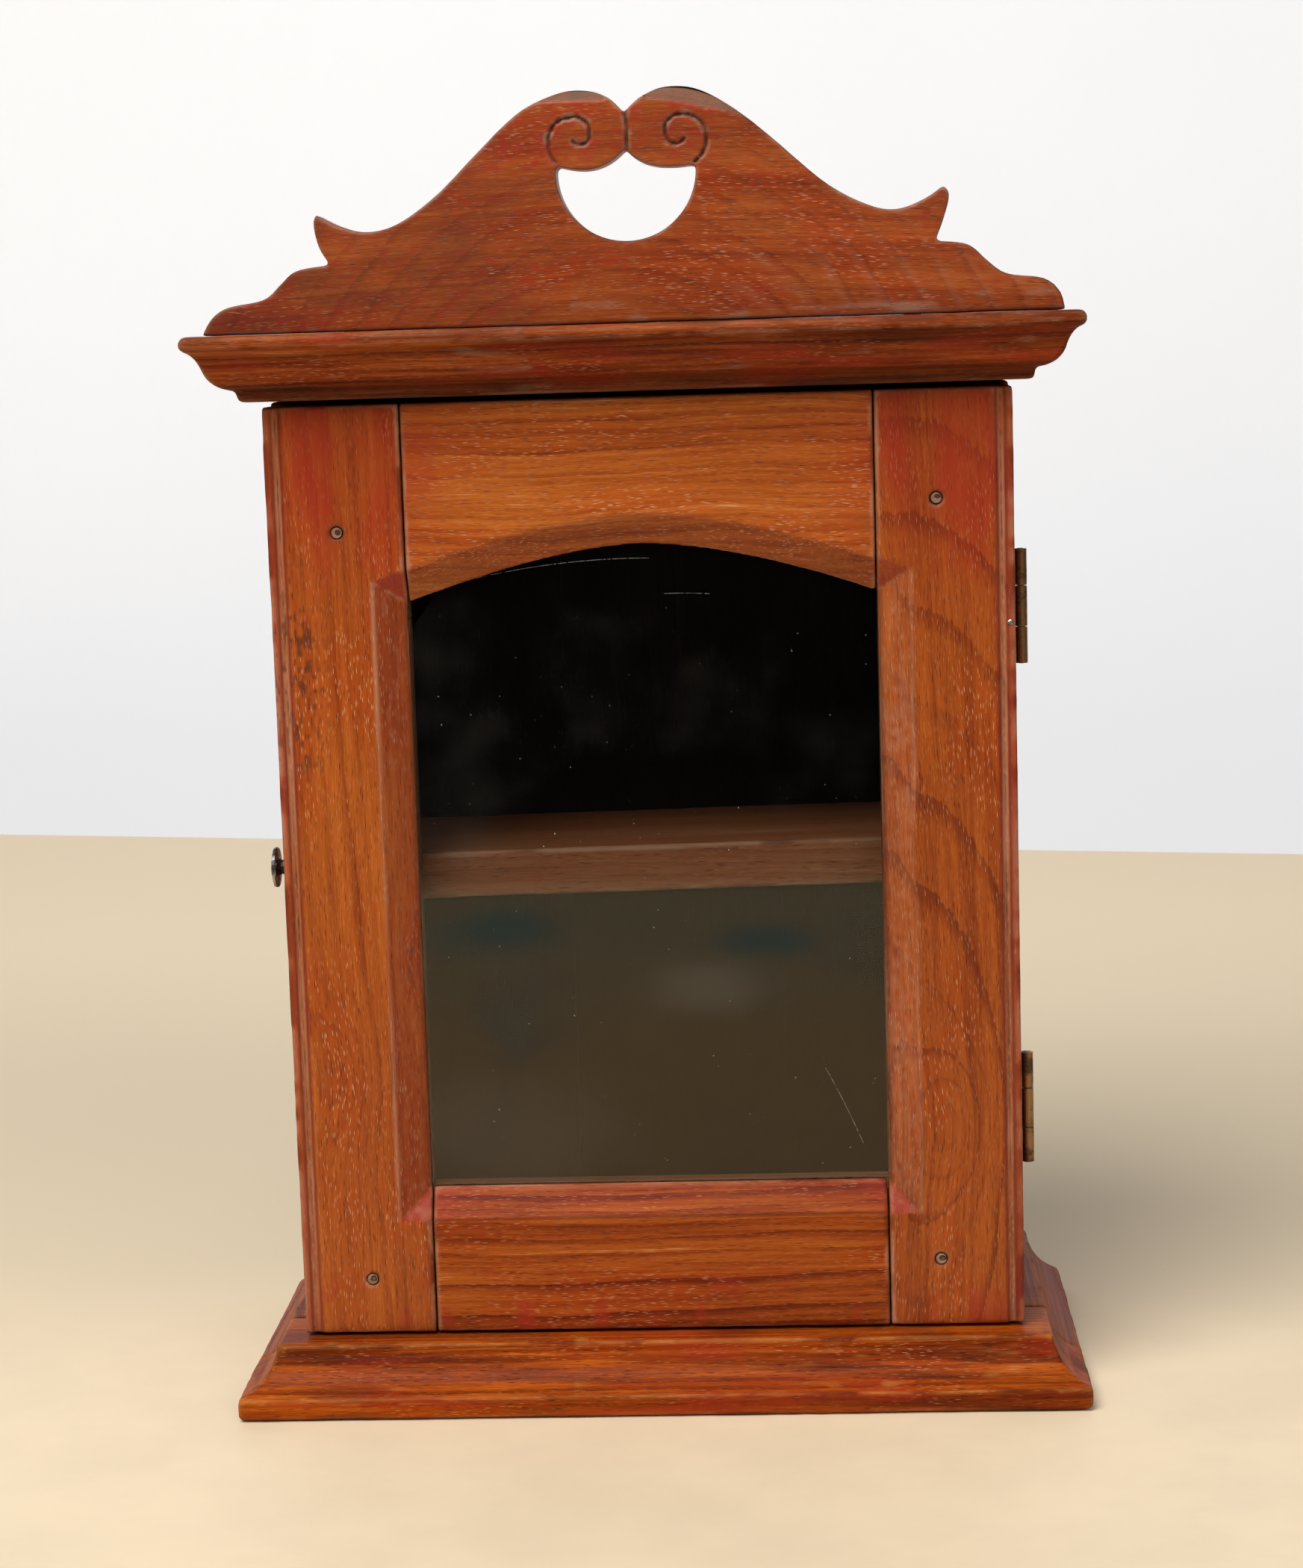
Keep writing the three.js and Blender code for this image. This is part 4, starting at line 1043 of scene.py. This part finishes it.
# ---------------------------------------------------------------- the small parts


def peg_wood(node):
    """End grain: growth rings round a heart a little off the peg's middle."""
    low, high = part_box(node)
    heart = ((low[0] + high[0]) / 2 / MM + 0.5, (low[2] + high[2]) / 2 / MM + 0.3)
    look = dict(heart=heart, spacing=2.3, lines=0.9, wander=0.0, gloss=0.5, light=0.1, seed=51.0)
    return teak(node + "_end", "y", PEG_TONES, **look)


def add_small_parts():
    """The pegs, the metal parts and the pane, which keep their CAD shapes."""
    bronze = metal("aged_bronze", (0.320, 0.175, 0.085), (0.120, 0.064, 0.032), 0.34, 9.0)
    steel = metal("dark_steel", (0.300, 0.285, 0.270), (0.045, 0.038, 0.033), 0.22, 4.0)
    for node, shown in frame["nodes"].items():
        if "peg" in node or "dowel" in node:
            paint(eased(node, 0.2), peg_wood(node))
        elif "hinge" in node or "screw" in node:
            paint(eased(node, 0.16), bronze)
        elif node == "door_knob":
            paint(shown, steel)
        elif node == "glass_pane":
            paint(shown, old_glass())


def add_edge_nail():
    """The small bright nail head in the right stile, beside its bead: a dented flat dome."""
    middle = Vector((127.0, DOOR_FACE + 0.15, 275.6))
    shape = bmesh.new()
    bmesh.ops.create_icosphere(shape, subdivisions=3, radius=1.0)
    for v in shape.verts:
        dent = 1 - 0.12 * math.sin(3 * math.atan2(v.co.z, v.co.x) + 1)
        v.co = (middle + Vector((1.15 * dent * v.co.x, 0.55 * v.co.y, 1.0 * dent * v.co.z))) * MM
    nail = link("edge_nail", finished_mesh("edge_nail", shape))
    shade_smooth(nail.data)
    paint(nail, metal("worn_steel", (0.62, 0.58, 0.54), (0.20, 0.16, 0.13), 0.25, 1.0))
    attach(nail, "door")


SPECKS = 190
SPECK_AREA = ((-78, 78), (82, 284))
FLAKE_THICK = 0.05
FLAKE_STEP = 0.32  # between a scratch's flakes
SCRATCHES = (  # each one's start, end and bow
    ((-65, 293.5), (3, 300.5), 2.2),
    ((-84, 280), (-84, 264), 0.3),
    ((8, 288), (24, 287.5), 0.2),
    ((60, 118), (73, 90), 1.0),
)


def add_flake(shape, x, z, wide, tall, turn=0.0):
    """A six-sided flake of dust, just in front of the pane."""
    front = GLASS_FACE - FLAKE_THICK - 0.01
    angles = [turn + k * math.pi / 3 for k in range(6)]
    flat = [(x + wide * math.cos(a), z + tall * math.sin(a)) for a in angles]
    ring = [shape.verts.new((u * MM, front * MM, v * MM)) for u, v in flat]
    back = [shape.verts.new((v.co.x, v.co.y + FLAKE_THICK * MM, v.co.z)) for v in ring]
    shape.faces.new(ring)
    shape.faces.new(back[::-1])
    for k in range(6):
        shape.faces.new((ring[k], back[k], back[(k + 1) % 6], ring[(k + 1) % 6]))


def add_scratch(shape, chance, start, end, bow):
    """A row of flakes with gaps from start to end, which arches up by its bow."""
    across, up = end[0] - start[0], end[1] - start[1]
    count = int(math.hypot(across, up) / FLAKE_STEP)
    for i in range(count):
        share = i / count
        if chance.random() < 0.30:
            continue
        x, z = start[0] + across * share, start[1] + up * share + bow * 4 * share * (1 - share)
        add_flake(shape, x, z, 0.17, 0.045 + 0.05 * chance.random())


def add_glass_marks():
    """Dust specks and a few fine scratches on the pane."""
    chance = np.random.default_rng(7)
    shape = bmesh.new()
    for _ in range(SPECKS):
        x, z = (chance.uniform(low, high) for low, high in SPECK_AREA)
        size = 0.07 + 0.16 * chance.random() ** 3
        add_flake(shape, x, z, size, size * chance.uniform(0.7, 1.3), chance.uniform(0, 3))
    for start, end, bow in SCRATCHES:
        add_scratch(shape, chance, start, end, bow)
    bmesh.ops.recalc_face_normals(shape, faces=shape.faces)
    marks = link("glass_marks", finished_mesh("glass_marks", shape))
    paint(marks, plain("pale_dust", (0.34, 0.35, 0.34), 0.25, 0.8, 3))
    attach(marks, "door")


# ------------------------------------------- stage, lights and camera, in metres unless MM is named

FLOOR_FRONT = -1.08
FLOOR_HALF = 1.9
FLOOR_BACK = (1.58, 0.71)  # at its left end and its right end
FLOOR_THICK = 0.025
WALL_Y = 1.9
WALL_HALF = 3
WALL_HEIGHTS = (-1.2, 2.6)


def add_stage():
    """A pale floor whose far edge runs slantwise, with painted shade near the case and painted light further
    back, and a white wall behind it.
    """
    shape = bmesh.new()
    front = [(-FLOOR_HALF, FLOOR_FRONT), (FLOOR_HALF, FLOOR_FRONT)]
    corners = front + [(FLOOR_HALF, FLOOR_BACK[1]), (-FLOOR_HALF, FLOOR_BACK[0])]
    top = shape.faces.new([shape.verts.new((x, y, -0.1 * MM)) for x, y in corners])
    made = bmesh.ops.extrude_face_region(shape, geom=[top])
    low = [v for v in made["geom"] if isinstance(v, bmesh.types.BMVert)]
    bmesh.ops.translate(shape, verts=low, vec=(0, 0, -FLOOR_THICK))
    bmesh.ops.recalc_face_normals(shape, faces=shape.faces)
    floor = link("floor", finished_mesh("floor", shape))
    # Painted shade darkens the floor around the case's depth, and painted light brightens it from 0.3 m back.
    painted_light_bands = ((-0.1, 0.15, 0.88), (0.3, 0.9, 1.13))
    paint(floor, plain("pale_table", (0.88, 0.720, 0.490), 0.035, 0.62, 60, painted_light_bands=painted_light_bands))

    shape = bmesh.new()
    low, high = WALL_HEIGHTS
    corners = ((-WALL_HALF, low), (WALL_HALF, low), (WALL_HALF, high), (-WALL_HALF, high))
    shape.faces.new([shape.verts.new((x, WALL_Y, z)) for x, z in corners])
    wall = link("wall", finished_mesh("wall", shape))
    paint(wall, plain("white_wall", (0.86, 0.86, 0.87), 0.01, 0.8, 200, glow=0.58))


def add_light(name, place, target, size, power):
    """A round lamp that the camera doesn't see."""
    light = bpy.data.lights.new(name, "AREA")
    light.shape = "DISK"
    light.size = size
    light.energy = power
    lamp = link(name, light)
    lamp.location = place
    lamp.rotation_mode = "QUATERNION"
    lamp.rotation_quaternion = (Vector(target) - Vector(place)).to_track_quat("-Z", "Y")
    lamp.visible_camera = False


def add_lights():
    """A high key from the left, a weak fill from the right, and a room that reflects dark but shows pale."""
    add_light("key", (-0.58, -1.15, 2.05), (0, -0.1, 0.15), 1.5, 53)
    add_light("fill", (1.1, -1.8, 1.3), (0, 0, 0.2), 1.3, 10)
    world = bpy.data.worlds.new("studio")
    bpy.context.scene.world = world
    g = Graph(world)
    up = g.add("SeparateXYZ", Vector=g.add("TexCoord").outputs["Generated"]).outputs[2]
    room = g.ramp(up, (0.0, (0.004, 0.004, 0.004)), (0.06, (0.09, 0.09, 0.095)))
    seen = g.add("LightPath").outputs["Is Camera Ray"]
    shade = g.mix(seen, room, (0.80, 0.80, 0.82))
    g.finish(g.add("Background", Color=shade), "OutputWorld")


def add_camera():
    """The camera in front of the case, a little above its middle, turned, tilted down and rolled."""
    place = Vector((52.81, -1089.47, 374.54)) * MM
    yaw, pitch, roll = -0.049, 0.145, 0.031
    ahead = Vector((math.sin(yaw) * math.cos(pitch), math.cos(yaw) * math.cos(pitch), -math.sin(pitch)))
    level = Vector((math.cos(yaw), -math.sin(yaw), 0))
    below = ahead.cross(level)
    right = math.cos(roll) * level + math.sin(roll) * below
    down = -math.sin(roll) * level + math.cos(roll) * below
    turn = Matrix((right, -down, -ahead)).transposed()
    lens = bpy.data.cameras.new("camera")
    lens.sensor_fit = "VERTICAL"
    lens.sensor_width = 36
    lens.sensor_height = 36
    lens.lens = 69.4
    lens.clip_start = 0.05
    camera = link("camera", lens)
    camera.matrix_world = Matrix.Translation(place) @ turn.to_4x4()
    bpy.context.scene.camera = camera


add_camera()
add_door()
add_mouldings()
add_pediment()
add_case()
add_small_parts()
add_edge_nail()
add_glass_marks()
add_stage()
add_lights()

view = bpy.context.scene.view_settings
view.view_transform = "Standard"
view.look = "None"
